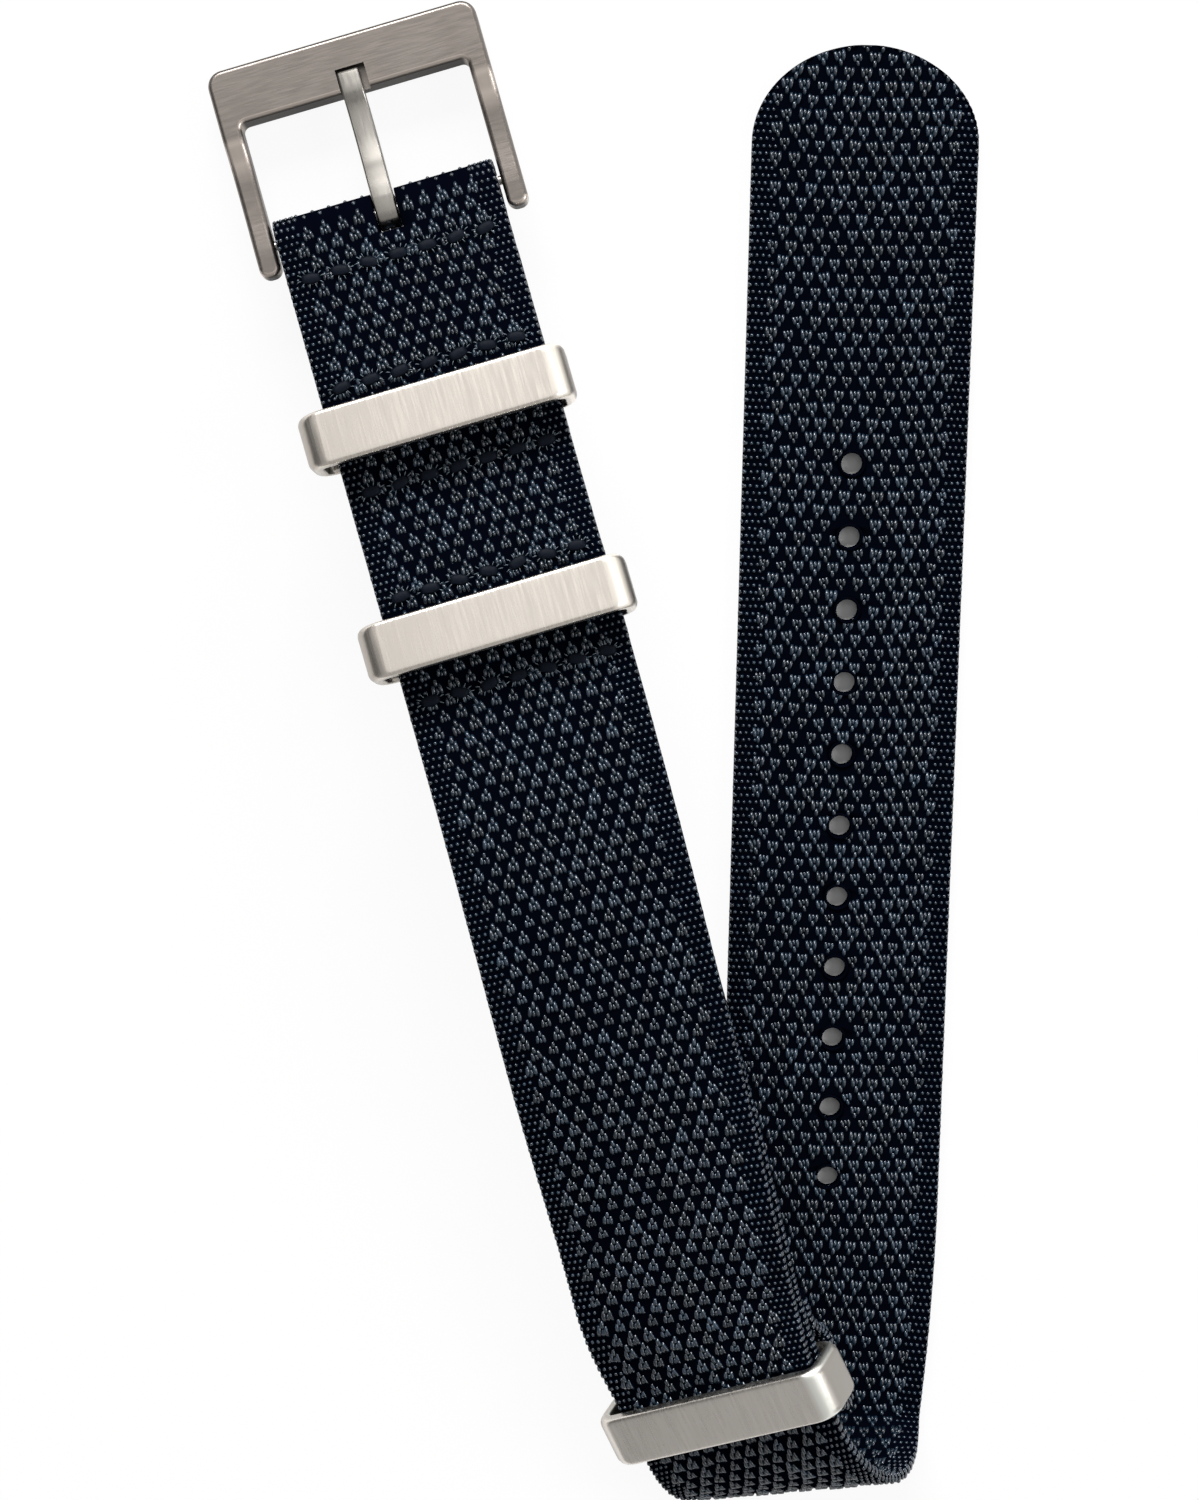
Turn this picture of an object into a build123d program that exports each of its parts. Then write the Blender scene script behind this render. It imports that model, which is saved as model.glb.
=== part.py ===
from build123d import *
import math
import os

# A pass-through watch strap as it lies on a table. X is to the right, Y runs towards the buckle
# end, Z is up. All lengths are in millimetres and all angles in degrees.

# Webbing
webbing_width = 20.0
webbing_thickness = 1.3
layer_gap = 0.05

# Route of the long webbing, measured along its front face from the top of the buckle fold
fold_to_upper = 20.3
upper_to_middle = 18.7
middle_to_crest = 32.0
crest_to_lean = 29.6
lean_to_end = 11.8
end_to_turn = 3.2
turn_length = 22.5
settle_length = 19.6
tail_straight_length = 94.6
tip_length = 8.5
route_x = -18.63
route_y = 51.7
walk_step = 0.5

# Fold round the spring bar
bar_diameter = 1.5
fold_clearance = 0.1
fold_back_length = 16.75
fold_close_length = 3.9
slot_width = 2.8
slot_front_clearance = 0.4
slot_back_clearance = 0.35

# Adjustment holes in the tail
hole_count = 11
hole_diameter = 2.0
hole_pitch = 6.5
hole_first_from_tip = 36.3
hole_row_offset = -0.25

# Keepers
keeper_length = 4.8
keeper_wall = 1.25
keeper_back_bar = 1.1
keeper_room = 3.85
keeper_side_clearance = 0.55
keeper_outer_radius = 1.5
keeper_inner_radius = 0.5
keeper_edge_radius = 0.2
keeper_side_shift = -0.35
end_keeper_side_shift = -0.3
pocket_clearance = 0.3
loop_clearance = 0.45
pocket_slope_length = 2.6
end_front_clearance = 0.3

# Short webbing
short_start = 8.0
short_sag = 1.6
loop_close_length = 2.8
loop_end_overlap = 3.2

# Stitching
stitch_length = 1.9
stitch_margin = 1.25
stitch_count = 7
stitch_width = 0.5
stitch_height = 0.45
stitch_proud = 0.12
seam_fold = 6.2
seam_above_keeper = 1.9
seam_below_keeper = 2.6
seam_loop_offset = 4.0

# Buckle frame, whose side profile is in shares of its window and its thickness
buckle_side_clearance = 0.2
buckle_window = 10.85
buckle_bar_width = 4.95
buckle_thickness = 2.6
buckle_arm_width = 1.85
buckle_arm_reach = 2.65
buckle_corner_radius = 1.4
buckle_inner_radius = 0.6
buckle_end_radius = 0.8
buckle_edge_radius = 0.4
buckle_side_shares = [(0.92, 0.5), (0.74, 0.365), (0.46, 0.254), (0.16, 0.277), (-0.04, 0.327)]
buckle_end_share = 0.308
notch_width = 2.6
notch_depth = 2.1
notch_side_shift = 0.25
notch_drop = 1.1
pivot_clearance = 0.05
pivot_hole_depth = 1.35

# Tongue, whose bends are in shares of its reach and of the buckle's half thickness
tongue_width = 1.9
tongue_thickness = 1.1
tongue_eye_wall = 0.65
tongue_eye_clearance = 0.06
tongue_notch_clearance = 0.05
tongue_tip_gap = 0.25
tongue_bend_shares = [(0.206, 0.885), (0.332, 0.323), (0.717, 0.269)]
tongue_rise_share = 0.834

# Spring bar
tube_end_clearance = 0.25
tube_wall = 0.2
tip_fit = 0.05
tip_pin_diameter = 0.8
tip_pin_clearance = 0.15
tip_plunger_length = 4.0
tip_free_clearance = 0.05
spring_fit = 0.06
spring_wire = 0.16
spring_wire_sides = 8
spring_turns = 15

# Spacing of the webbing's sections
section_gap = 4.0
turn_section_gap = 1.6
overrun = 1.0

# Stations of the route: distance, pitch above the table, side lean and heading from -Y
at_upper = fold_to_upper
at_middle = at_upper + upper_to_middle
at_crest = at_middle + middle_to_crest
at_lean = at_crest + crest_to_lean
at_end = at_lean + lean_to_end
at_turn = at_end + end_to_turn
at_under = at_turn + turn_length / 2
at_table = at_turn + turn_length
at_tail = at_table + settle_length
at_tip_start = at_tail + tail_straight_length
at_tip = at_tip_start + tip_length
stations = [
    (0.0, 10.8, 0.0, 16.0),
    (at_middle, 12.5, 0.0, 16.5),
    (at_crest, -2.5, -1.0, 14.0),
    (at_lean, -6.0, 14.2, 11.9),
    (at_end, -3.4, 25.6, 23.6),
    (at_turn, -3.4, 25.6, 23.6),
    (at_under, -74.8, 24.5, 14.4),
    (at_table, -180.0, 0.0, -6.2),
    (at_tail, -180.0, 0.0, -1.3),
    (at_tip, -180.0, 0.0, -1.3),
]


def angles_at(distance):
    """Pitch, lean and heading of the route at a distance along it."""
    distance = min(max(distance, 0.0), at_tip)
    for before, after in zip(stations, stations[1:]):
        if distance <= after[0]:
            share = (distance - before[0]) / (after[0] - before[0])
            eased = share * share * (3 - 2 * share)
            pitch = before[1] + share * (after[1] - before[1])
            lean = before[2] + eased * (after[2] - before[2])
            heading = before[3] + share * (after[3] - before[3])
            return math.radians(pitch), math.radians(lean), math.radians(heading)
    return angles_at(at_tip)


def directions_at(distance):
    """Unit vectors along the strap, across it to the right, and out of its front face."""
    pitch, lean, heading = angles_at(distance)
    ahead = Vector(math.sin(heading), -math.cos(heading), 0)
    level = Vector(math.cos(heading), math.sin(heading), 0)
    up = Vector(0, 0, 1)
    raised = up * math.cos(lean) - level * math.sin(lean)
    across = level * math.cos(lean) + up * math.sin(lean)
    along = ahead * math.cos(pitch) + raised * math.sin(pitch)
    outward = raised * math.cos(pitch) - ahead * math.sin(pitch)
    return along, across, outward


def walk_route():
    """Points of the front face's centre line, one for each step, with the tail on the table."""
    steps = math.ceil(at_tip / walk_step)
    step = at_tip / steps
    points = [Vector(0, 0, 0)]
    for index in range(steps):
        points.append(points[-1] + directions_at((index + 0.5) * step)[0] * step)
    shift = Vector(route_x, route_y, -points[-1].Z)
    return [point + shift for point in points], step


route_points, route_step = walk_route()


def place_at(distance):
    """Point, along, across and outward of the front face at a distance along the route."""
    along, across, outward = directions_at(distance)
    position = distance / route_step
    index = min(max(int(position), 0), len(route_points) - 2)
    share = position - index
    first, second = route_points[index], route_points[index + 1]
    if 0 <= distance <= at_tip:
        point = first + (second - first) * share
    else:
        edge = route_points[0] if distance < 0 else route_points[-1]
        point = edge + along * (distance if distance < 0 else distance - at_tip)
    return point, along, across, outward


def plane_at(distance, outward_shift=0.0, side_shift=0.0, tilt=0.0):
    """Plane on the strap whose x runs across, y back towards the buckle and z outward."""
    point, along, across, outward = place_at(distance)
    origin = point + outward * outward_shift + across * side_shift
    normal = outward * math.cos(math.radians(tilt)) + along * math.sin(math.radians(tilt))
    return Plane(origin=origin, x_dir=across, z_dir=normal)


def section(distance, depth, turn):
    """Rectangle across a layer whose middle lies at a depth and whose run is turned in side view."""
    point, along, across, outward = place_at(distance)
    middle = point + outward * depth
    run = math.radians(turn)
    normal = outward * math.cos(run) - along * math.sin(run)
    half_wide = across * (webbing_width / 2)
    half_thick = normal * half_web
    corners = [
        middle - half_wide - half_thick,
        middle + half_wide - half_thick,
        middle + half_wide + half_thick,
        middle - half_wide + half_thick,
    ]
    return Polyline(*corners, close=True)


def straight_run(start, end, depth, turn=0.0):
    """Sections of a run that keeps its depth, closer together in the bottom turn."""
    length = abs(end - start)
    in_turn = max(start, end) > at_lean and min(start, end) < at_table
    gap = turn_section_gap if in_turn else section_gap
    count = max(1, math.ceil(length / gap))
    return [(start + (end - start) * i / count, depth, turn) for i in range(count + 1)]


def slope_run(start, end, first_depth, last_depth, turn=0.0, count=6):
    """Sections of an S-shaped change of depth, without its first one."""
    result = []
    for i in range(1, count + 1):
        share = i / count
        depth = first_depth + (last_depth - first_depth) * (1 - math.cos(math.pi * share)) / 2
        rate = (last_depth - first_depth) * math.pi * math.sin(math.pi * share) / 2
        lean = math.degrees(math.atan(rate / (end - start)))
        result.append((start + (end - start) * share, depth, turn + lean))
    return result


def bend_run(centre, depth, radius, first_turn, last_turn, count=9):
    """Sections of a bend about a centre, without its first one."""
    result = []
    side = 1 if last_turn > first_turn else -1
    for i in range(1, count + 1):
        turn = first_turn + (last_turn - first_turn) * i / count
        out = math.radians(turn)
        distance = centre + side * radius * math.sin(out)
        result.append((distance, depth - side * radius * math.cos(out), turn))
    return result


def layer(runs):
    """Solid of a webbing layer, each run carrying on from the last section of the one before."""
    solid = None
    last = []
    for run in runs:
        wires = [Wire(section(*place).edges()) for place in last + run]
        piece = Part(Solid.make_loft(wires).wrapped)
        solid = piece if solid is None else solid + piece
        last = run[-1:]
    return solid


# Depths of the layers' middles below the front face
half_web = webbing_thickness / 2
front_depth = -half_web
second_depth = front_depth - webbing_thickness - layer_gap
third_depth = second_depth - webbing_thickness - layer_gap
bar_radius = bar_diameter / 2
buckle_window_width = webbing_width + 2 * buckle_side_clearance
buckle_width = buckle_window_width + 2 * buckle_arm_width
tube_length = buckle_window_width - 2 * tube_end_clearance
tip_pin_length = tube_end_clearance + pivot_hole_depth - tip_pin_clearance
tip_travel = tip_pin_length - tube_end_clearance + tip_free_clearance
tongue_eye_inner = bar_radius + tongue_eye_clearance
tongue_eye_outer = tongue_eye_inner + tongue_eye_wall
slot_front_reach = tongue_eye_outer + slot_front_clearance
slot_back_reach = tongue_eye_outer + slot_back_clearance
fold_radius = bar_radius + fold_clearance + half_web
fold_centre = fold_radius + half_web
fold_axis_depth = front_depth - fold_radius
keeper_room_width = webbing_width + 2 * keeper_side_clearance
keeper_width = keeper_room_width + 2 * keeper_wall
keeper_depth = keeper_room + keeper_wall + keeper_back_bar
pocket_bar_front = -webbing_thickness - pocket_clearance
pocket_depth = pocket_bar_front - keeper_back_bar - pocket_clearance - half_web
end_bar_front = end_front_clearance - keeper_room
end_bar_middle = end_bar_front - keeper_back_bar / 2
loop_radius = keeper_back_bar / 2 + loop_clearance + half_web
loop_centre = at_end + keeper_length / 2 - pocket_clearance
pocket_half = keeper_length / 2 + pocket_clearance


def tail_plate():
    """Flat end of the long webbing with its rounded tip, as one plate."""
    plane = plane_at(at_tail)
    outline = Rectangle(webbing_width, tail_straight_length, align=(Align.CENTER, Align.MAX))
    tip = Pos(0, -tail_straight_length) * Ellipse(webbing_width / 2, tip_length)
    return extrude(plane * (outline + tip), -webbing_thickness)


def hole_cutters():
    """Round cutters for the adjustment holes."""
    plane = plane_at(at_tip)
    for i in range(hole_count):
        along = hole_first_from_tip + i * hole_pitch
        place = plane * Pos(hole_row_offset, along, -webbing_thickness / 2)
        yield place * Cylinder(hole_diameter / 2, webbing_thickness + overrun)


def tongue_slot():
    """Cutter for the slot that lets the tongue through the fold."""
    plane = plane_at(fold_centre, outward_shift=fold_axis_depth)
    reach = fold_radius + half_web + overrun
    front = Pos(0, reach / 2 - slot_front_reach / 2, reach / 2)
    back = Pos(0, reach / 2 - slot_back_reach / 2, -reach / 2)
    cut = front * Box(slot_width, reach + slot_front_reach, reach)
    cut += back * Box(slot_width, reach + slot_back_reach, reach)
    return plane * cut


def make_main_strap():
    """Long webbing from the end of its fold-back round the spring bar to the tail's tip."""
    fold_back_depth = fold_axis_depth - fold_radius
    fold_back_close = fold_centre + fold_close_length
    close = slope_run(fold_back_close, fold_centre, second_depth, fold_back_depth)
    strap = layer(
        [
            straight_run(fold_back_length, fold_back_close, second_depth, 180.0),
            [(distance, depth, 180.0 + turn) for distance, depth, turn in close],
            bend_run(fold_centre, fold_axis_depth, fold_radius, 180.0, 0.0),
            straight_run(fold_centre, at_lean, front_depth)[1:],
            straight_run(at_lean, at_turn, front_depth)[1:],
            straight_run(at_turn, at_table, front_depth)[1:],
            straight_run(at_table, at_tail, front_depth)[1:],
        ]
    )
    strap += tail_plate()
    for cutter in hole_cutters():
        strap -= cutter
    return strap - tongue_slot()


def make_keeper_strap():
    """Short webbing with two pockets and the loop round the end keeper's back bar."""
    depth = third_depth
    first_slope = at_upper - pocket_half - pocket_slope_length
    runs = [straight_run(short_start, first_slope, depth)]
    for place in (at_upper, at_middle):
        pocket_start = place - pocket_half
        pocket_end = place + pocket_half
        start = pocket_start - pocket_slope_length
        end = pocket_end + pocket_slope_length
        if start > runs[-1][-1][0]:
            runs.append([(start, depth, 0.0)])
        runs.append(slope_run(start, pocket_start, depth, pocket_depth))
        runs.append(straight_run(pocket_start, pocket_end, pocket_depth)[1:])
        depth = second_depth
        runs.append(slope_run(pocket_end, end, pocket_depth, depth))
    inner_depth = end_bar_middle + loop_radius
    outer_depth = end_bar_middle - loop_radius
    back_start = at_end - pocket_half
    back_end = back_start - loop_close_length
    last_end = back_end - loop_end_overlap
    free_start = runs[-1][-1][0]
    free_end = last_end - overrun
    count = math.ceil((free_end - free_start) / section_gap)
    free_run = []
    for i in range(1, count + 1):
        share = i / count
        eased = share * share * (3 - 2 * share)
        sag = short_sag * math.sin(math.pi * share) ** 2
        here = second_depth + (inner_depth - second_depth) * eased - sag
        free_run.append((free_start + (free_end - free_start) * share, here, 0.0))
    runs.append(free_run)
    runs.append(straight_run(free_end, loop_centre, inner_depth)[1:])
    runs.append(bend_run(loop_centre, end_bar_middle, loop_radius, 0.0, -180.0))
    touch_depth = inner_depth - webbing_thickness - layer_gap
    close = slope_run(back_start, back_end, outer_depth, touch_depth)
    runs.append(straight_run(loop_centre, back_start, outer_depth, -180.0)[1:])
    runs.append([(distance, depth, turn - 180.0) for distance, depth, turn in close])
    runs.append(straight_run(back_end, last_end, touch_depth, -180.0)[1:])
    return layer(runs)


def keeper_ring(front_depth_of_room, distance, side_shift):
    """Flat steel ring whose room for the webbing starts at the given height above the strap."""
    outer = RectangleRounded(keeper_width, keeper_depth, keeper_outer_radius)
    room = RectangleRounded(keeper_room_width, keeper_room, keeper_inner_radius)
    room_shift = (keeper_back_bar - keeper_wall) / 2
    ring = extrude(outer - Pos(0, room_shift) * room, keeper_length / 2, both=True)
    ring = fillet(ring.edges().filter_by(GeomType.LINE, reverse=True), keeper_edge_radius)
    centre = front_depth_of_room + keeper_wall - keeper_depth / 2
    plane = plane_at(distance, outward_shift=centre, side_shift=side_shift)
    return plane * Rot(90, 0, 0) * ring


def stitch_row(distance, top_depth, bottom_depth):
    """Row of closed thread loops through every layer between two depths."""
    row = []
    plane = plane_at(distance)
    height = top_depth - bottom_depth + 2 * stitch_proud
    middle = (top_depth + bottom_depth) / 2
    first = -webbing_width / 2 + stitch_margin + stitch_length / 2
    for i in range(stitch_count):
        side = first - 2 * first * i / (stitch_count - 1)
        outer = Box(stitch_length, stitch_width, height)
        inner = Box(stitch_length - 2 * stitch_height, 2 * stitch_width, height - 2 * stitch_height)
        row.append(plane * Pos(side, 0, middle) * (outer - inner))
    return Compound(children=row)


def buckle_plane():
    """Plane at the spring bar's axis whose y runs towards the buckle's bar."""
    return plane_at(fold_centre, outward_shift=fold_axis_depth)


def make_buckle_frame():
    """U-shaped frame with dipped arms, a notch for the tongue and a blind hole in each arm."""
    length = buckle_window + buckle_bar_width
    middle_low = (Align.CENTER, Align.MIN)
    outer = Rectangle(buckle_width, length + buckle_arm_reach, align=middle_low)
    outer = fillet(outer.vertices().sort_by(Axis.Y)[-2:], buckle_corner_radius)
    window_length = buckle_window + buckle_arm_reach
    window = Rectangle(buckle_window_width, window_length, align=middle_low)
    window = fillet(window.vertices().sort_by(Axis.Y)[-2:], buckle_inner_radius)
    plan = Pos(0, -buckle_arm_reach) * (outer - window)
    half = buckle_thickness / 2
    side_tops = [(y * buckle_window, z * buckle_thickness) for y, z in buckle_side_shares]
    tops = [(length, half)] + side_tops
    end = (-buckle_arm_reach, buckle_end_share * buckle_thickness)
    curve = Spline(*tops[1:], end, tangents=[(-1, 0), (-1, 0)])
    rest = Polyline(end, (-buckle_arm_reach, -half), (length, -half), *tops[:2])
    side = make_face(curve.edges() + rest.edges())
    frame = extrude(plan, half, both=True) & extrude(Plane.YZ * side, buckle_width, both=True)
    ends = frame.edges().filter_by(Axis.Z).sort_by(Axis.Y)[:4]
    frame = fillet(ends, buckle_end_radius)
    seam_y = side_tops[0][0]
    level = frame.edges().filter_by(Axis.Z, reverse=True)
    around = [edge for edge in level if abs(edge.center().Y - seam_y) > buckle_edge_radius]
    frame = fillet(around, buckle_edge_radius)
    notch_height = buckle_thickness + overrun - notch_drop
    notch_middle = half - notch_drop + notch_height / 2
    notch = Box(notch_width, 2 * notch_depth, notch_height)
    frame -= Pos(notch_side_shift, buckle_window, notch_middle) * notch
    for side in (-1, 1):
        hole = Cylinder(tip_pin_diameter / 2 + pivot_clearance, pivot_hole_depth)
        place = side * (buckle_window_width + pivot_hole_depth) / 2
        frame -= Pos(place, 0, 0) * Rot(0, 90, 0) * hole
    return buckle_plane() * frame


def make_tongue():
    """Bent pin with an eye round the spring bar, drawn in side view and given its width."""
    half = tongue_thickness / 2
    reach = buckle_window + notch_depth - tongue_tip_gap
    buckle_half = buckle_thickness / 2
    rest = buckle_half - notch_drop + tongue_notch_clearance + half
    bends = [(y * reach, z * buckle_half) for y, z in tongue_bend_shares]
    middles = [(0, tongue_eye_outer - half), *bends, (tongue_rise_share * reach, rest), (reach, rest)]
    upper = [(y, z + half) for y, z in middles]
    lower = [(y, z - half) for y, z in reversed(middles)]
    profile = make_face(Polyline(*upper, *lower, close=True)) + Circle(tongue_eye_outer)
    profile -= Circle(tongue_eye_inner)
    pin = extrude(Plane.YZ * profile, tongue_width / 2, both=True)
    return buckle_plane() * pin


def across_axis(side=1):
    """Location at the spring bar's middle whose z runs across the strap to one side."""
    return buckle_plane() * Rot(0, side * 90, 0)


def make_tube():
    tube = Cylinder(bar_radius, tube_length) - Cylinder(bar_radius - tube_wall, tube_length)
    return across_axis() * tube


def make_tip(side):
    """Flanged pin that slides in one end of the tube."""
    plunger_radius = bar_radius - tube_wall - tip_fit
    face = tube_length / 2
    low = (Align.CENTER, Align.CENTER, Align.MIN)
    tip = Pos(0, 0, face - tip_plunger_length) * Cylinder(
        plunger_radius, tip_plunger_length, align=low
    )
    tip += Pos(0, 0, face) * Cylinder(tip_pin_diameter / 2, tip_pin_length, align=low)
    return across_axis(side) * tip


def make_spring():
    """Coil between the inner ends of the two tips."""
    wire_radius = spring_wire / 2
    radius = bar_radius - tube_wall - spring_fit - wire_radius
    length = tube_length - 2 * tip_plunger_length - spring_wire
    coil = Pos(0, 0, -length / 2) * Helix(length / spring_turns, length, radius)
    start = Plane(origin=coil @ 0, z_dir=coil % 0)
    return across_axis() * sweep(start * RegularPolygon(wire_radius, spring_wire_sides), path=coil)


def make_parts():
    """Every sub-part under its node's name."""
    parts = {
        "main_strap": make_main_strap(),
        "keeper_strap": make_keeper_strap(),
        "buckle_frame": make_buckle_frame(),
        "buckle_tongue": make_tongue(),
        "spring_bar_tube": make_tube(),
        "spring_bar_spring": make_spring(),
        "spring_bar_tip_left": make_tip(-1),
        "spring_bar_tip_right": make_tip(1),
    }
    pocket_room = pocket_bar_front + keeper_room
    parts["upper_keeper"] = keeper_ring(pocket_room, at_upper, keeper_side_shift)
    parts["middle_keeper"] = keeper_ring(pocket_room, at_middle, keeper_side_shift)
    parts["end_keeper"] = keeper_ring(end_front_clearance, at_end, end_keeper_side_shift)
    two_layers = second_depth - half_web
    three_layers = third_depth - half_web
    half_ring = keeper_length / 2
    seams = {
        "fold_seam": (seam_fold, two_layers),
        "upper_seam_above": (at_upper - half_ring - seam_above_keeper, three_layers),
        "upper_seam_below": (at_upper + half_ring + seam_below_keeper, two_layers),
        "middle_seam_above": (at_middle - half_ring - seam_above_keeper, two_layers),
        "middle_seam_below": (at_middle + half_ring + seam_below_keeper, two_layers),
    }
    for name, (distance, bottom) in seams.items():
        parts[name] = stitch_row(distance, 0.0, bottom)
    loop_top = end_bar_middle + loop_radius + half_web
    loop_bottom = loop_top - 2 * webbing_thickness - layer_gap
    loop_place = at_end - half_ring - seam_loop_offset
    parts["end_loop_seam"] = stitch_row(loop_place, loop_top, loop_bottom)
    return parts


if __name__ == "__main__":
    os.makedirs("parts", exist_ok=True)
    for name, shape in make_parts().items():
        export_step(shape, f"parts/{name}.step")
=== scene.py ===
"""A pass-through watch strap of navy webbing with a brushed steel buckle and three flat keepers."""

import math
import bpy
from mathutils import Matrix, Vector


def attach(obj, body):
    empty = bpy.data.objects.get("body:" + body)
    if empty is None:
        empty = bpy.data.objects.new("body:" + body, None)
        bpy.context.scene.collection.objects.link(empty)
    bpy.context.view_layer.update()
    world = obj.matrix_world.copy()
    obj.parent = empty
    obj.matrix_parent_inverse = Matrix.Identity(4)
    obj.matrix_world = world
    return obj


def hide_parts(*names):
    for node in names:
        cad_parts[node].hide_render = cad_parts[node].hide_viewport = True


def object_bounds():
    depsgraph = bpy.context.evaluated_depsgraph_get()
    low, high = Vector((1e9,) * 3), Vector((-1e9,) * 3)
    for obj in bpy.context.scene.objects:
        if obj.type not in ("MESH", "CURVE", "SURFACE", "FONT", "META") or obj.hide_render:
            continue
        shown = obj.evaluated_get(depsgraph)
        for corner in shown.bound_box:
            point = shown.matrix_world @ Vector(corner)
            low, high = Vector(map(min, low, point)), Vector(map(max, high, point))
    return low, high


bl_info = {
    "name": "Pass-Through Watch Strap",
    "version": (1, 0, 0),
    "blender": (4, 5, 0),
    "location": "3D View > Sidebar > Watch Strap",
    "description": "Builds the weave, stitching, steel and stage of a pass-through watch strap",
    "category": "Object",
}

from functools import partialmethod

import bmesh
import bpy
from mathutils import Matrix, Vector

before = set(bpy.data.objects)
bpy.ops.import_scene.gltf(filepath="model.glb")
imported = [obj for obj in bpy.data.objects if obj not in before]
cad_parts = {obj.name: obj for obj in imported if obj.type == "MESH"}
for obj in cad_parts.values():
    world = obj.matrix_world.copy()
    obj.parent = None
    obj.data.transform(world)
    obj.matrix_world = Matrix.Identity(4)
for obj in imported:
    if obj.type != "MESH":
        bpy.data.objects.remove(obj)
cad_low, cad_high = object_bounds()

MM = 0.001

# Webbing, as in the part
WEB_WIDTH = 20 * MM
WEB_THICKNESS = 1.3 * MM
LAYER_GAP = 0.05 * MM
HALF_WEB = WEB_THICKNESS / 2

# Route along the long webbing's front face, from the top of the buckle fold to the tip
AT_UPPER = 20.3 * MM
AT_MIDDLE = 39.0 * MM
AT_CREST = 71.0 * MM
AT_LEAN = 100.6 * MM
AT_END = 112.4 * MM
AT_TURN = 115.6 * MM
AT_UNDER = 126.85 * MM
AT_TABLE = 138.1 * MM
AT_TAIL = 157.7 * MM
AT_TIP_START = 252.3 * MM
AT_TIP = 260.8 * MM
TIP_LENGTH = AT_TIP - AT_TIP_START
ROUTE_X = -18.63 * MM
ROUTE_Y = 51.7 * MM
WALK_STEP = 0.5 * MM
PATH_STEP = 0.4 * MM
ROUNDING = 0.000001

# Bend of the route: a distance along it, and the pitch, the lean and the heading there in degrees
STATIONS = [
    (0.0, 10.8, 0.0, 16.0),
    (AT_MIDDLE, 12.5, 0.0, 16.5),
    (AT_CREST, -2.5, -1.0, 14.0),
    (AT_LEAN, -6.0, 14.2, 11.9),
    (AT_END, -3.4, 25.6, 23.6),
    (AT_TURN, -3.4, 25.6, 23.6),
    (AT_UNDER, -74.8, 24.5, 14.4),
    (AT_TABLE, -180.0, 0.0, -6.2),
    (AT_TAIL, -180.0, 0.0, -1.3),
    (AT_TIP, -180.0, 0.0, -1.3),
]

# Fold round the spring bar
BAR_RADIUS = 0.75 * MM
FOLD_CLEARANCE = 0.1 * MM
FOLD_RADIUS = BAR_RADIUS + FOLD_CLEARANCE + HALF_WEB
FOLD_CENTRE = FOLD_RADIUS + HALF_WEB
FOLD_BACK_LENGTH = 16.75 * MM
FOLD_CLOSE_LENGTH = 3.9 * MM
SLOT_FRONT_REACH = 1.86 * MM
SLOT_BACK_REACH = 1.81 * MM

# Depths of the layers' middles below the front face
FRONT_DEPTH = -HALF_WEB
SECOND_DEPTH = FRONT_DEPTH - WEB_THICKNESS - LAYER_GAP
THIRD_DEPTH = SECOND_DEPTH - WEB_THICKNESS - LAYER_GAP
FOLD_AXIS_DEPTH = FRONT_DEPTH - FOLD_RADIUS

# Keepers and the short webbing
KEEPER_LENGTH = 4.8 * MM
KEEPER_WALL = 1.25 * MM
KEEPER_SIDE_CLEARANCE = 0.55 * MM
KEEPER_SIDE_SHIFT = -0.35 * MM
END_KEEPER_SIDE_SHIFT = -0.3 * MM
KEEPER_BACK_BAR = 1.1 * MM
KEEPER_ROOM = 3.85 * MM
POCKET_CLEARANCE = 0.3 * MM
END_FRONT_CLEARANCE = 0.3 * MM
LOOP_CLEARANCE = 0.45 * MM
POCKET_SLOPE = 2.6 * MM
POCKET_HALF = KEEPER_LENGTH / 2 + POCKET_CLEARANCE
POCKET_BAR_FRONT = -WEB_THICKNESS - POCKET_CLEARANCE
POCKET_DEPTH = POCKET_BAR_FRONT - KEEPER_BACK_BAR - POCKET_CLEARANCE - HALF_WEB
END_BAR_MIDDLE = END_FRONT_CLEARANCE - KEEPER_ROOM - KEEPER_BACK_BAR / 2
LOOP_RADIUS = KEEPER_BACK_BAR / 2 + LOOP_CLEARANCE + HALF_WEB
LOOP_CENTRE = AT_END + KEEPER_LENGTH / 2 - POCKET_CLEARANCE
LOOP_CLOSE_LENGTH = 2.8 * MM
LOOP_OVERLAP = 3.2 * MM
SHORT_START = 8 * MM
SHORT_SAG = 1.6 * MM
FREE_RUN_COUNT = 120
FREE_RUN_GAP = 1 * MM

# Adjustment holes in the tail
HOLE_COUNT = 11
HOLE_RADIUS = 1 * MM
HOLE_PITCH = 6.5 * MM
HOLE_FIRST = 36.3 * MM
HOLE_SIDE = -0.25 * MM

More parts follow.
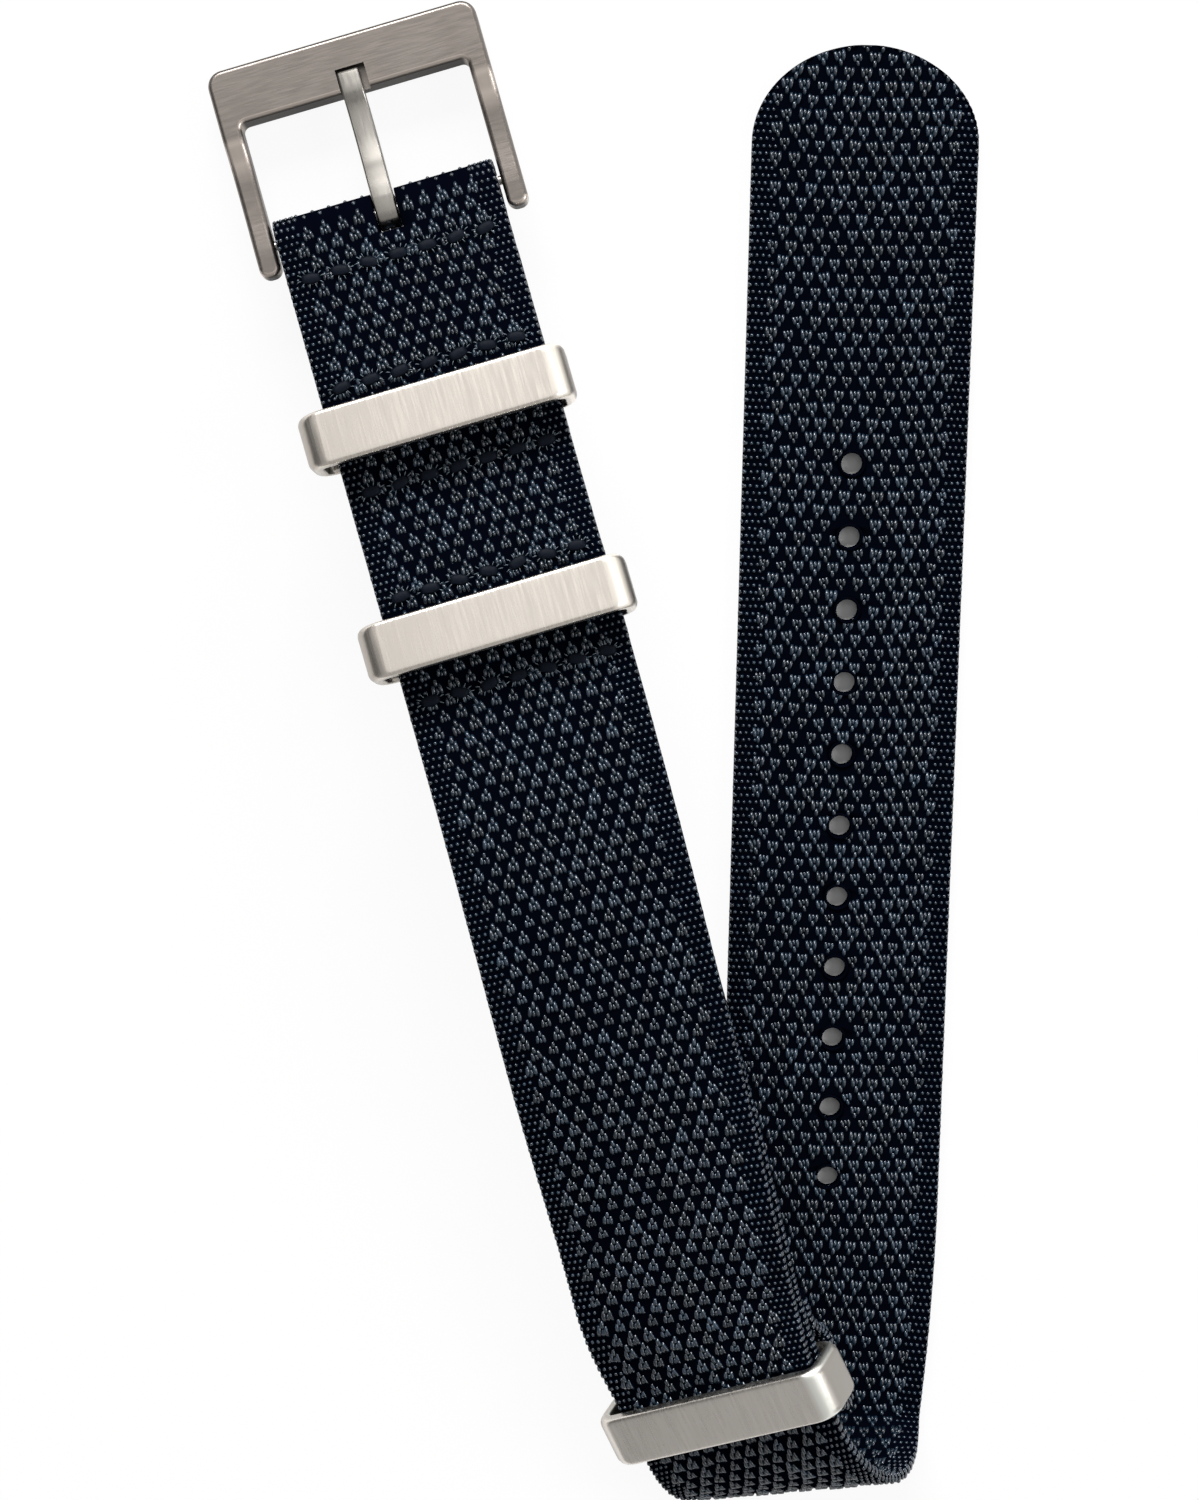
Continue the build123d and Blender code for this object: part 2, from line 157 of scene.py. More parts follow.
# Seams, as distance along the route, height of the front stitches and height of the back ones
AT_FOLD_SEAM = 6.2 * MM
SEAM_ABOVE = 4.3 * MM
SEAM_BELOW = 5 * MM
LOOP_SEAM_ABOVE = 4 * MM
LOOP_FRONT = END_BAR_MIDDLE + LOOP_RADIUS + HALF_WEB
SEAMS = {
    "fold_seam": (AT_FOLD_SEAM, 0, SECOND_DEPTH - HALF_WEB),
    "upper_seam_above": (AT_UPPER - SEAM_ABOVE, 0, THIRD_DEPTH - HALF_WEB),
    "upper_seam_below": (AT_UPPER + SEAM_BELOW, 0, SECOND_DEPTH - HALF_WEB),
    "middle_seam_above": (AT_MIDDLE - SEAM_ABOVE, 0, SECOND_DEPTH - HALF_WEB),
    "middle_seam_below": (AT_MIDDLE + SEAM_BELOW, 0, SECOND_DEPTH - HALF_WEB),
    "end_loop_seam": (
        AT_END - KEEPER_LENGTH / 2 - LOOP_SEAM_ABOVE,
        LOOP_FRONT,
        LOOP_FRONT - 2 * WEB_THICKNESS - LAYER_GAP,
    ),
}

# Dark core of the webbing
CORE_SIDE_DROP = 0.08 * MM
CORE_FACE_DROP = 0.2 * MM
CORE_STEP = 0.8 * MM
CORE_CORNER_STEPS = 4
CORE_TIP_STEPS = 24
CORE_TIP_SHARE = 0.9995
CORE_NARROWEST_SHARE = 0.001

# Weave, made of cells; a float of yarn is its start, end, width, height and drop of its crest in mm
CELL_COLUMNS = 11
CELL_COLUMN_PITCH = 1.48 * MM
CELL_ROW_PITCH = 1.27 * MM
CELL_START = 0.7 * MM
CELL_LOOSENESS = 0.06 * MM
CELL_TURN = 0.2
CELL_CROWDING_SHARE = 0.025
CELL_SIZE_SHARES = (0.86, 1.1)
FRONT_BOW = 3.5
BACK_BOW = 4.5
CELL_CREST = 0.07 * MM
CELL_DIVE = -0.46 * MM
CELL_FLOATS = (
    ((0, -0.84), (0, 0.12), 0.4, 0.36, 0.02),
    ((0, -0.1), (0, 0.72), 0.34, 0.3, 0.06),
    ((-0.24, -0.42), (-0.39, 0.78), 0.42, 0.38, 0),
    ((0.24, -0.42), (0.39, 0.78), 0.42, 0.38, 0),
)
CELL_FACETS = (4, 4)
HALVED_FROM = 120
END_ROOM_SHARES = (0.6, 0.2)
ARCH_POWER = 2.2
SWELL_POWER = 2.6

# Selvedges of small beads, the yarn turns on the edges and the calm top of the fold
BEAD_CREST = -0.02 * MM
BEAD_DIVE = -0.28 * MM
BEAD_FLOATS = (((0, -0.2), (0, 0.2), 0.34, 0.3, 0),)
BEAD_FACETS = (5, 2)
EDGE_TURN_CREST = 0.5 * MM
EDGE_TURN_FLOATS = (((0, -0.27), (0, 0.27), 0.3, 1.0, 0),)
EDGE_TURN_FACETS = (8, 3)
SELVEDGE_COLUMNS = 4
SELVEDGE_PITCH = 0.52 * MM
SELVEDGE_ROW_PITCH = 0.63 * MM
SELVEDGE_CENTRE = 8.76 * MM
SELVEDGE_START = 0.3 * MM
SELVEDGE_LOOSENESS = 0.03 * MM
SELVEDGE_TURN = 0.3
EDGE_TURN_CENTRE = 9.79 * MM
EDGE_LOOSENESS = 0.02 * MM
END_MARGIN = 0.4 * MM
FOLD_CALM_HALF = 1.75 * MM
FOLD_BEAD_ROWS = 4
FOLD_BEAD_ROW_PITCH = 0.9 * MM

# Room that the yarn leaves at the holes, the slot and the tip, and the rims of the holes
HOLE_CORE_MARGIN = 0.06 * MM
HOLE_YARN_MARGIN = 0.04 * MM
HOLE_CELL_MARGIN = 0.2 * MM
RIM_SPREAD = 0.09 * MM
RIM_TUBE = 0.13 * MM
RIM_DROP = 0.1 * MM
RIM_SIDES = 8
SLOT_HALF = 1.06 * MM
SLOT_CELL_HALF = 1.5 * MM
CUTTER_HALF = 2 * MM
TIP_OVERHANG_SHARE = 1.08
DETAIL_DISTANCE = 0.00001 * MM
TRIM_MARGIN = 0.1 * MM

# Seeds of the random draws
LATTICE_SEEDS = (11.0, 12.0, 5.0, 7.0)
WEAVE_SEED = 3
HALF_SEED_STEP = 10
SELVEDGE_SEED = 40
FOLD_SEED = 50
EDGE_SEED = 60

# Stitches and the frayed yarn round them
STITCH_COUNT = 7
STITCH_FIRST = -7.8 * MM
STITCH_PITCH = 2.6 * MM
STITCH_LENGTH = 1.7 * MM
STITCH_WIDTH = 0.95 * MM
STITCH_DIP = 0.25 * MM
STITCH_DIP_POWER = 8
STITCH_FLATNESS_SHARE = 0.3
STITCH_END_SHARE = 0.35
STITCH_SWELL_POWER = 2.5
STITCH_TWIST_SHARE = 0.09
STITCH_TWIST = 12
STITCH_STEPS = 10
STITCH_SIDES = 8
STITCH_TURN = 0.3
FRAY_REACH = (0.85 * MM, 0.42 * MM)
FRAY_LENGTH = 0.5 * MM
FRAY_WIDTH = 0.1 * MM
FRAY_CREST = 0.2 * MM
FRAY_DIVE = -0.1 * MM
FRAY_FACETS = (3, 3)
FRAY_ANGLES = (15, 42, 68, 95, 121, 150, 196, 228, 262, 290, 325)

# Tongue, whose profile is y, z and thickness along its middle; profile and wrap in mm and degrees
TONGUE_HALF = 0.95 * MM
TONGUE_CORNER = 0.16 * MM
TONGUE_CORNER_POINTS = 4
TONGUE_END_SHARE = 0.8
TONGUE_PARTS = 5
TONGUE_PROFILE = (
    (12.7, 0.8, 1.06),
    (11.9, 0.82, 1.1),
    (10.9, 0.8, 1.1),
    (9.9, 0.5, 1.1),
    (8.6, 0.33, 1.1),
    (6.6, 0.34, 1.1),
    (4.8, 0.52, 1.1),
    (3.5, 0.8, 1.08),
    (2.3, 1.06, 1.0),
    (1.1, 1.24, 0.85),
)
TONGUE_WRAP_RADIUS = 1.135
TONGUE_WRAP_THICKNESS = 0.65
TONGUE_WRAP_START = 90
TONGUE_WRAP_STEP = 12.5
TONGUE_WRAP_COUNT = 25

# Corners and edges of the keepers
KEEPER_EDGE = 0.32 * MM
KEEPER_EDGE_STEPS = 8
KEEPER_PLAN_RADIUS = 0.8 * MM
KEEPER_OUTER_RADIUS = 1.9 * MM
KEEPER_INNER_RADIUS = 0.5 * MM

# Colours and finishes; a painted-light entry is a direction, where it starts and is full, the brightness
# painted there as a highlight or as shade, and its roughness
YARN_DARK = (0.003, 0.009, 0.017, 1)
YARN_LIGHT = (0.016, 0.034, 0.058, 1)
YARN_ROUGHNESS = 0.23
YARN_SPECULAR = 0.8
# Core colour: the webbing's navy darkened further, as painted shade in the gaps between the yarn floats;
# the fused rims of the holes share it
CORE_COLOUR_AND_SHADE = (0.001, 0.0015, 0.004, 1)
CORE_ROUGHNESS = 0.9
CORE_SPECULAR = 0.0
THREAD_COLOUR = (0.002, 0.004, 0.009, 1)
THREAD_ROUGHNESS = 0.6
THREAD_SPECULAR = 0.1
FRAY_COLOUR = (0.12, 0.16, 0.19, 1)
FRAY_ROUGHNESS = 0.4
FRAY_SPECULAR = 0.6
BUCKLE_COLOUR = (0.2, 0.176, 0.157, 1)
TONGUE_COLOUR = (0.36, 0.34, 0.31, 1)
KEEPER_COLOUR = (0.75, 0.69, 0.62, 1)
END_KEEPER_COLOUR = (0.8, 0.75, 0.69, 1)
BAR_COLOUR = (0.3, 0.29, 0.28, 1)
BUCKLE_ROUGHNESS = 0.34
TONGUE_ROUGHNESS = 0.3
KEEPER_ROUGHNESS = 0.26
END_KEEPER_ROUGHNESS = 0.3
BAR_ROUGHNESS = 0.3
BUCKLE_STREAK = (0.5, 9.0, 9.0)
TONGUE_STREAK = (7.0, 0.4, 7.0)
KEEPER_STREAK = (5.0, 0.3, 5.0)
KEEPER_CONTRAST_SHARE = 2
WORN_COLOUR = (0.9, 0.88, 0.85, 1)
WORN_SHARE = 0.05
# Painted light on the buckle: its top bevel darkened and matt as painted shade where the key lamp's
# highlight falls, the arms' slopes brightened as a painted highlight, and the bar's inner wall darkened
# as painted shade
BUCKLE_PAINTED_LIGHT = (
    ((0, 1, 0), 0.3, 0.6, 0.3, 0.6),
    ((0, -1, 0), 0.04, 0.17, 2.8, 0.34),
    ((0, -1, 0), 0.6, 0.95, 0.2, 0.4),
)
# Painted shade on the tongue: darker and matt where it faces the key lamp, which dims its highlight
TONGUE_PAINTED_SHADE = (((0, 1, 0), 0.02, 0.25, 0.3, 0.55),)
# Painted light on the keepers: a painted highlight on the right corners, and painted shade on the right
# side walls and the left corners
KEEPER_PAINTED_LIGHT = (
    ((1, 0, 0), 0.08, 0.3, 1.35, 0.38),
    ((1, 0, 0), 0.62, 0.84, 0.45, 0.4),
    ((-1, 0, 0), 0.35, 0.7, 0.6, 0.3),
)
STREAK_CONTRAST = 0.03
GRAIN_SCALE = 1000.0
GRAIN_DETAIL = 4.0
GRAIN_SPREAD_SHARES = (0.3, 0.7)
GRAIN_ROUGHNESS = 0.06
GRAIN_STRENGTH = 0.003
GRAIN_DEPTH = 0.02 * MM
WEAR_SCALE = 260.0
DYE_SCALE = 420.0
DYE_STRENGTH = 1.6
FIBRE_SCALE = 9000.0
FIBRE_MIDDLE_SHARE = 0.45
FIBRE_ROUGHNESS = 0.22
LUMP_SCALE = 5500.0
LUMP_STRENGTH = 0.22
LUMP_DEPTH = 0.08 * MM

# Stage, in metres and watts, and camera, with its lens in mm and its tilt in degrees
FLOOR_HALF = 1.5
FLOOR_GAP = 0.1 * MM
FLOOR_COLOUR = (0.9, 0.9, 0.9, 1)
FLOOR_ROUGHNESS = 0.9
FLOOR_SEEN_SHARE = 0.92
FLOOR_MIRRORED_SHARE = 0.3
BACKDROP_DIM_SHARE = 0.28
BACKDROP_MIRRORED_SHARE = 0.15
BACKDROP_LEFT_SHARE = 0.3
BACKDROP_LEFT_RANGE = (-0.9, -0.5)
BACKDROP_RIGHT_SHARE = 0.9
BACKDROP_RIGHT_RANGE = (0.2, 0.6)
HOLE_STRIP_HALF = 3 * MM
KEY_PLACE = (-0.15, 1.0, 0.58)
KEY_SIZE = (0.7, 0.42)
KEY_POWER = 19.0
SIDE_PLACE = (0.95, 0.1, 0.75)
SIDE_SIZE = (0.5, 0.5)
SIDE_POWER = 4.0
TOP_PLACE = (-0.05, 0.42, 1.0)
TOP_SIZE = (0.8, 0.6)
TOP_POWER = 0.8
LENS_LENGTH = 78.29
SENSOR_WIDTH = 36
NEAREST_SEEN = 0.01
CAMERA_PLACE = (0.33 * MM, 45.06 * MM, 290 * MM)
CAMERA_TILT = -8.5


def angles_at(distance):
    """Pitch, lean and heading of the route at a distance along it."""
    distance = min(max(distance, 0.0), AT_TIP)
    for before, after in zip(STATIONS, STATIONS[1:]):
        if distance <= after[0]:
            share = (distance - before[0]) / (after[0] - before[0])
            eased = share * share * (3 - 2 * share)
            pitch = before[1] + share * (after[1] - before[1])
            lean = before[2] + eased * (after[2] - before[2])
            heading = before[3] + share * (after[3] - before[3])
            return math.radians(pitch), math.radians(lean), math.radians(heading)
    return angles_at(AT_TIP)


def directions_at(distance):
    """Unit vectors along the strap, across it to the right, and out of its front face."""
    pitch, lean, heading = angles_at(distance)
    ahead = Vector((math.sin(heading), -math.cos(heading), 0))
    level = Vector((math.cos(heading), math.sin(heading), 0))
    up = Vector((0, 0, 1))
    raised = up * math.cos(lean) - level * math.sin(lean)
    across = level * math.cos(lean) + up * math.sin(lean)
    along = ahead * math.cos(pitch) + raised * math.sin(pitch)
    outward = raised * math.cos(pitch) - ahead * math.sin(pitch)
    return along, across, outward


def walk_route():
    """Points of the front face's centre line, one for each step, with the tail on the table."""
    steps = math.ceil(AT_TIP / WALK_STEP - ROUNDING)
    step = AT_TIP / steps
    points = [Vector((0, 0, 0))]
    for index in range(steps):
        points.append(points[-1] + directions_at((index + 0.5) * step)[0] * step)
    shift = Vector((ROUTE_X, ROUTE_Y, -points[-1].z))
    return [point + shift for point in points], step


route_points, route_step = walk_route()


def place_at(distance):
    """Point, along, across and outward of the front face at a distance along the route."""
    along, across, outward = directions_at(distance)
    position = distance / route_step
    index = min(max(int(position), 0), len(route_points) - 2)
    if distance < 0:
        point = route_points[0] + along * distance
    elif distance > AT_TIP:
        point = route_points[-1] + along * (distance - AT_TIP)
    else:
        point = route_points[index].lerp(route_points[index + 1], position - index)
    return point, along, across, outward


def frame_at(distance, depth=0.0):
    """Matrix on the strap whose x runs across, y back towards the buckle and z outward."""
    point, along, across, outward = place_at(distance)
    matrix = Matrix((across, -along, outward)).transposed().to_4x4()
    matrix.translation = point + outward * depth
    return matrix


def straight_run(start, end, depth, turn=0.0):
    """Stations of a run that keeps its depth."""
    count = max(1, math.ceil(abs(end - start) / WALK_STEP))
    return [(start + (end - start) * i / count, depth, turn) for i in range(count + 1)]


def slope_run(start, end, first_depth, last_depth, turn=0.0, count=10):
    """Stations of an S-shaped change of depth, without its first one."""
    result = []
    for i in range(1, count + 1):
        share = i / count
        depth = first_depth + (last_depth - first_depth) * (1 - math.cos(math.pi * share)) / 2
        rate = (last_depth - first_depth) * math.pi * math.sin(math.pi * share) / 2
        lean = math.degrees(math.atan(rate / (end - start)))
        result.append((start + (end - start) * share, depth, turn + lean))
    return result


def bend_run(centre, depth, radius, first_turn, last_turn, count=20):
    """Stations of a bend about a centre, without its first one."""
    result = []
    side = 1 if last_turn > first_turn else -1
    for i in range(1, count + 1):
        turn = first_turn + (last_turn - first_turn) * i / count
        out = math.radians(turn)
        distance = centre + side * radius * math.sin(out)
        result.append((distance, depth - side * radius * math.cos(out), turn))
    return result


def main_strap_run():
    """Stations of the long webbing's middle from the end of its fold-back to the tip."""
    back_depth = FOLD_AXIS_DEPTH - FOLD_RADIUS
    close = FOLD_CENTRE + FOLD_CLOSE_LENGTH
    run = straight_run(FOLD_BACK_LENGTH, close, SECOND_DEPTH, 180.0)
    slope = slope_run(close, FOLD_CENTRE, SECOND_DEPTH, back_depth)
    run += [(distance, depth, 180.0 + turn) for distance, depth, turn in slope]
    run += bend_run(FOLD_CENTRE, FOLD_AXIS_DEPTH, FOLD_RADIUS, 180.0, 0.0)
    return run + straight_run(FOLD_CENTRE, AT_TIP, FRONT_DEPTH)[1:]


def keeper_strap_run():
    """Stations of the short webbing's middle from its stitched start to its looped end."""
    depth = THIRD_DEPTH
    run = straight_run(SHORT_START, AT_UPPER - POCKET_HALF - POCKET_SLOPE, depth)
    for place in (AT_UPPER, AT_MIDDLE):
        pocket_start, pocket_end = place - POCKET_HALF, place + POCKET_HALF
        start, end = pocket_start - POCKET_SLOPE, pocket_end + POCKET_SLOPE
        if start > run[-1][0] + WALK_STEP:
            run += straight_run(run[-1][0], start, depth)[1:]
        run += slope_run(start, pocket_start, depth, POCKET_DEPTH)
        run += straight_run(pocket_start, pocket_end, POCKET_DEPTH)[1:]
        depth = SECOND_DEPTH
        run += slope_run(pocket_end, end, POCKET_DEPTH, depth)
    inner_depth = END_BAR_MIDDLE + LOOP_RADIUS
    outer_depth = END_BAR_MIDDLE - LOOP_RADIUS
    back_start = AT_END - POCKET_HALF
    back_end = back_start - LOOP_CLOSE_LENGTH
    last_end = back_end - LOOP_OVERLAP
    free_start, free_end = run[-1][0], last_end - FREE_RUN_GAP
    for i in range(1, FREE_RUN_COUNT + 1):
        share = i / FREE_RUN_COUNT
        eased = share * share * (3 - 2 * share)
        sag = SHORT_SAG * math.sin(math.pi * share) ** 2
        here = SECOND_DEPTH + (inner_depth - SECOND_DEPTH) * eased - sag
        run.append((free_start + (free_end - free_start) * share, here, 0.0))
    run += straight_run(free_end, LOOP_CENTRE, inner_depth)[1:]
    run += bend_run(LOOP_CENTRE, END_BAR_MIDDLE, LOOP_RADIUS, 0.0, -180.0)
    touch_depth = inner_depth - WEB_THICKNESS - LAYER_GAP
    slope = slope_run(back_start, back_end, outer_depth, touch_depth)
    run += straight_run(LOOP_CENTRE, back_start, outer_depth, -180.0)[1:]
    run += [(distance, depth, turn - 180.0) for distance, depth, turn in slope]
    return run + straight_run(back_end, last_end, touch_depth, -180.0)[1:]


def route_path(run):
    """Evenly spaced points of a layer's middle line with their across and outward vectors."""
    raw = []
    for distance, depth, turn in run:
        point, along, across, outward = place_at(distance)
        lean = math.radians(turn)
        raw.append((point + outward * depth, across, outward * math.cos(lean) - along * math.sin(lean)))
    lengths = [0.0]
    for before, after in zip(raw, raw[1:]):
        lengths.append(lengths[-1] + (after[0] - before[0]).length)
    count = math.ceil(lengths[-1] / PATH_STEP)
    path, index = [], 0
    for i in range(count + 1):
        target = lengths[-1] * i / count
        while index < len(raw) - 2 and lengths[index + 1] < target:
            index += 1
        share = (target - lengths[index]) / (lengths[index + 1] - lengths[index])
        before, after = raw[index], raw[index + 1]
        path.append(
            (
                before[0].lerp(after[0], share),
                before[1].lerp(after[1], share).normalized(),
                before[2].lerp(after[2], share).normalized(),
            )
        )
    return path, lengths[-1]


# Objects and meshes


def new_object(name, mesh):
    """Object that holds a mesh, in the scene."""
    made = bpy.data.objects.new(name, mesh)
    bpy.context.scene.collection.objects.link(made)
    return made


def mesh_of(name, vertices, faces, smooth=True):
    """Mesh from vertices and faces, with its normals outwards."""
    mesh = bpy.data.meshes.new(name)
    mesh.from_pydata([tuple(v) for v in vertices], [], faces)
    work = bmesh.new()
    work.from_mesh(mesh)
    bmesh.ops.remove_doubles(work, verts=work.verts, dist=DETAIL_DISTANCE)
    bmesh.ops.recalc_face_normals(work, faces=work.faces)
    work.to_mesh(mesh)
    work.free()
    if smooth:
        mesh.shade_smooth()
    return mesh


def lofted(name, rings, closed=False, smooth=True):
    """Mesh through rings of points, which are capped unless the last one joins the first."""
    size, count = len(rings[0]), len(rings)
    faces = []
    for i in range(count if closed else count - 1):
        low, high = i * size, (i + 1) % count * size
        for j in range(size):
            after = (j + 1) % size
            faces.append((low + j, low + after, high + after, high + j))
    if not closed:
        faces += [tuple(range(size)), tuple(range((count - 1) * size, count * size))]
    return mesh_of(name, [point for ring in rings for point in ring], faces, smooth)


def joined(name, objects):
    """One object from several of one material, which are removed."""
    work = bmesh.new()
    for each in objects:
        work.from_mesh(each.data)
    mesh = bpy.data.meshes.new(name)
    work.to_mesh(mesh)
    work.free()
    for material in objects[0].data.materials:
        mesh.materials.append(material)
    for each in objects:
        bpy.data.objects.remove(each)
    mesh.shade_smooth()
    return new_object(name, mesh)


def evaluated_mesh(thing):
    """Plain mesh of an object as its modifiers make it."""
    bpy.context.view_layer.update()
    return bpy.data.meshes.new_from_object(thing.evaluated_get(bpy.context.evaluated_depsgraph_get()))


def finished(name, tree, values, source=None):
    """Plain mesh object from a node tree run on a source object, which is removed."""
    source = source or new_object(name, bpy.data.meshes.new(name))
    modifier = source.modifiers.new("Pattern", "NODES")
    modifier.node_group = tree
    for item in tree.interface.items_tree:
        if item.item_type == "SOCKET" and item.in_out == "INPUT" and item.name in values:
            modifier[item.identifier] = values[item.name]
    mesh = evaluated_mesh(source)
    mesh.name = name
    bpy.data.objects.remove(source)
    return new_object(name, mesh)


def cut(target, cutters):
    """Take other objects out of an object and remove them."""
    for cutter in cutters:
        modifier = target.modifiers.new("Cut", "BOOLEAN")
        modifier.operation = "DIFFERENCE"
        modifier.solver = "EXACT"
        modifier.object = cutter
    mesh = evaluated_mesh(target)
    target.modifiers.clear()
    target.data = mesh
    for cutter in cutters:
        bpy.data.objects.remove(cutter)


def circle(radius, height, centre=(0, 0), count=32):
    """Points of a level circle."""
    turns = [2 * math.pi * i / count for i in range(count)]
    return [(centre[0] + radius * math.cos(t), centre[1] + radius * math.sin(t), height) for t in turns]


def rounded_outline(half_wide, half_high, radius, count=8):
    """Points of a rounded rectangle about the origin, with the same count at each corner."""
    points = []
    for number, (sx, sz) in enumerate(((1, 1), (-1, 1), (-1, -1), (1, -1))):
        for i in range(count):
            turn = math.pi / 2 * (number + i / (count - 1))
            x = sx * (half_wide - radius) + radius * math.cos(turn)
            points.append((x, sz * (half_high - radius) + radius * math.sin(turn)))
    return points


def yarn_object(name, floats, crest, dive, facets):
    """Closed arched yarn floats between their dive and their crest heights."""
    vertices, faces = [], []
    sides, rings = facets
    for start, end, width, height, drop in floats:
        base = len(vertices)
        start, end = Vector(start) * MM, Vector(end) * MM
        width, height, drop = width * MM, height * MM, drop * MM
        ahead = (end - start).normalized()
        side = Vector((ahead.y, -ahead.x))
        vertices.append((start.x, start.y, dive))
        for i in range(rings):
            share = (i + END_ROOM_SHARES[0]) / (rings + END_ROOM_SHARES[1])
            off = abs(2 * share - 1)
            middle = start.lerp(end, share)
            lift = dive + (crest - drop - height / 2 - dive) * (1 - off**ARCH_POWER)
            swell = math.sqrt(1 - off**SWELL_POWER)
            for j in range(sides):
                turn = 2 * math.pi * (j + 0.5) / sides - math.pi / 2
                place = middle + side * (math.cos(turn) * swell * width / 2)
                vertices.append((place.x, place.y, lift + math.sin(turn) * swell * height / 2))
        vertices.append((end.x, end.y, dive))
        last = len(vertices) - 1
        for j in range(sides):
            after = (j + 1) % sides
            faces.append((base, base + 1 + after, base + 1 + j))
            for i in range(rings - 1):
                low = base + 1 + i * sides
                faces.append((low + j, low + after, low + sides + after, low + sides + j))
            low = base + 1 + (rings - 1) * sides
            faces.append((low + j, low + after, last))
    return new_object(name, mesh_of(name, vertices, faces))


def band_object(name, length, tip=None):
    """Flat closed core along y whose edges are round, with an elliptical end where a tip is given."""
    corner = HALF_WEB - CORE_FACE_DROP
    flat = WEB_WIDTH / 2 - CORE_SIDE_DROP - corner
    outline = []
    steps = CORE_CORNER_STEPS
    for side in (1, -1):
        for i in range(steps + 1):
            turn = math.pi * i / steps - math.pi / 2
            outline.append((side * (flat + corner * math.cos(turn)), side * math.sin(turn) * corner))
        for i in range(1, 2 * steps):
            outline.append((side * flat * (1 - i / steps), side * corner))
    count = math.ceil(length / CORE_STEP)
    rows = [length * i / count for i in range(count + 1)]
    straight = length - (tip or 0)
    if tip:
        rows = [y for y in rows if y < straight - CORE_STEP / 2]
        turns = [math.pi / 2 * i / CORE_TIP_STEPS for i in range(CORE_TIP_STEPS)]
        rows += [straight + tip * math.sin(turn) for turn in turns]
        rows.append(straight + tip * CORE_TIP_SHARE)
    rings = []
    for y in rows:
        narrow = math.sqrt(1 - ((y - straight) / tip) ** 2) if tip and y > straight else 1
        narrow = max(narrow, CORE_NARROWEST_SHARE)
        rings.append([(x * narrow, y, z) for x, z in outline])
    return new_object(name, lofted(name, rings))


# Node trees


class Value:
    """Output of a node, on which math nodes work as Python does on a number."""

    def __init__(self, tree, socket):
        self.tree = tree
        self.socket = socket

    def math(self, operation, *others):
        """Result of a math node on this value and others."""
        inputs = dict(enumerate((self, *others)))
        return value_of(self.tree, "ShaderNodeMath", inputs, operation=operation)

    def __rsub__(self, other):
        """What is left when this value is taken from a plain number."""
        return self * -1.0 + other

    __add__ = partialmethod(math, "ADD")
    __sub__ = partialmethod(math, "SUBTRACT")
    __mul__ = partialmethod(math, "MULTIPLY")
    __truediv__ = partialmethod(math, "DIVIDE")
    __pow__ = partialmethod(math, "POWER")
    __mod__ = partialmethod(math, "MODULO")
    __gt__ = partialmethod(math, "GREATER_THAN")
    __lt__ = partialmethod(math, "LESS_THAN")
    __abs__ = partialmethod(math, "ABSOLUTE")
    at_least = partialmethod(math, "MAXIMUM")
    at_most = partialmethod(math, "MINIMUM")
    rounded = partialmethod(math, "ROUND")
    root = partialmethod(math, "SQRT")


def feed(tree, node, inputs):
    """Join values to a node's inputs, or set plain ones on them."""
    for key, value in inputs.items():
        if isinstance(value, Value):
            tree.links.new(value.socket, node.inputs[key])
        else:
            node.inputs[key].default_value = value


def add_node(tree, kind, inputs=None, **settings):
    """Node of a tree with its settings and its inputs."""
    node = tree.nodes.new(kind)
    for name, value in settings.items():
        setattr(node, name, value)
    feed(tree, node, inputs or {})
    return node


def value_of(tree, kind, inputs=None, output=0, **settings):
    """Value that a new node gives."""
    return Value(tree, add_node(tree, kind, inputs, **settings).outputs[output])


def split(tree, vector):
    """The three values of a vector."""
    node = add_node(tree, "ShaderNodeSeparateXYZ", {0: vector})
    return [Value(tree, output) for output in node.outputs]


def random_between(tree, low, high, seed):
    """Random value for each point."""
    return value_of(tree, "FunctionNodeRandomValue", {2: low, 3: high, "Seed": seed}, 1)


def random_about(tree, reach, seed):
    """Random value for each point, to either side of zero."""
    return random_between(tree, reach * -1.0, reach, seed)


def new_tree(name, kind, inputs, outputs):
    """Node group, the values of its named inputs, and the node that takes its outputs."""
    tree = bpy.data.node_groups.new(name, kind)
    for label, socket_kind, value in inputs:
        socket = tree.interface.new_socket(label, in_out="INPUT", socket_type="NodeSocket" + socket_kind)
        if value is not None:
            socket.default_value = value
    for label, socket_kind in outputs:
        tree.interface.new_socket(label, in_out="OUTPUT", socket_type="NodeSocket" + socket_kind)
    taken = tree.nodes.new("NodeGroupInput").outputs
    take = {label: Value(tree, taken[label]) for label, socket_kind, value in inputs}
    return tree, take, tree.nodes.new("NodeGroupOutput")


def geometry_tree(name, inputs):
    """Geometry tree that takes a geometry with its named inputs and gives one."""
    inputs = [("Geometry", "Geometry", None)] + inputs
    return new_tree(name, "GeometryNodeTree", inputs, [("Geometry", "Geometry")])


def tree_named(name, build):
    """Node tree of a name, built the first time."""
    return bpy.data.node_groups.get(name) or build(name)


def run_group(tree, name, build, inputs):
    """Values that another tree gives, which is built the first time."""
    kind = tree.bl_idname.replace("Tree", "Group")
    node = add_node(tree, kind, inputs, node_tree=tree_named(name, build))
    return [Value(tree, output) for output in node.outputs]


def moved(tree, geometry, position):
    """Geometry with its points in other places."""
    return value_of(tree, "GeometryNodeSetPosition", {"Geometry": geometry, "Position": position})


def dyed(tree, geometry, material, result):
    """End a geometry tree with its instances real and its material set."""
    real = value_of(tree, "GeometryNodeRealizeInstances", {"Geometry": geometry})
    inputs = {"Geometry": real, "Material": material}
    feed(tree, result, {0: value_of(tree, "GeometryNodeSetMaterial", inputs)})


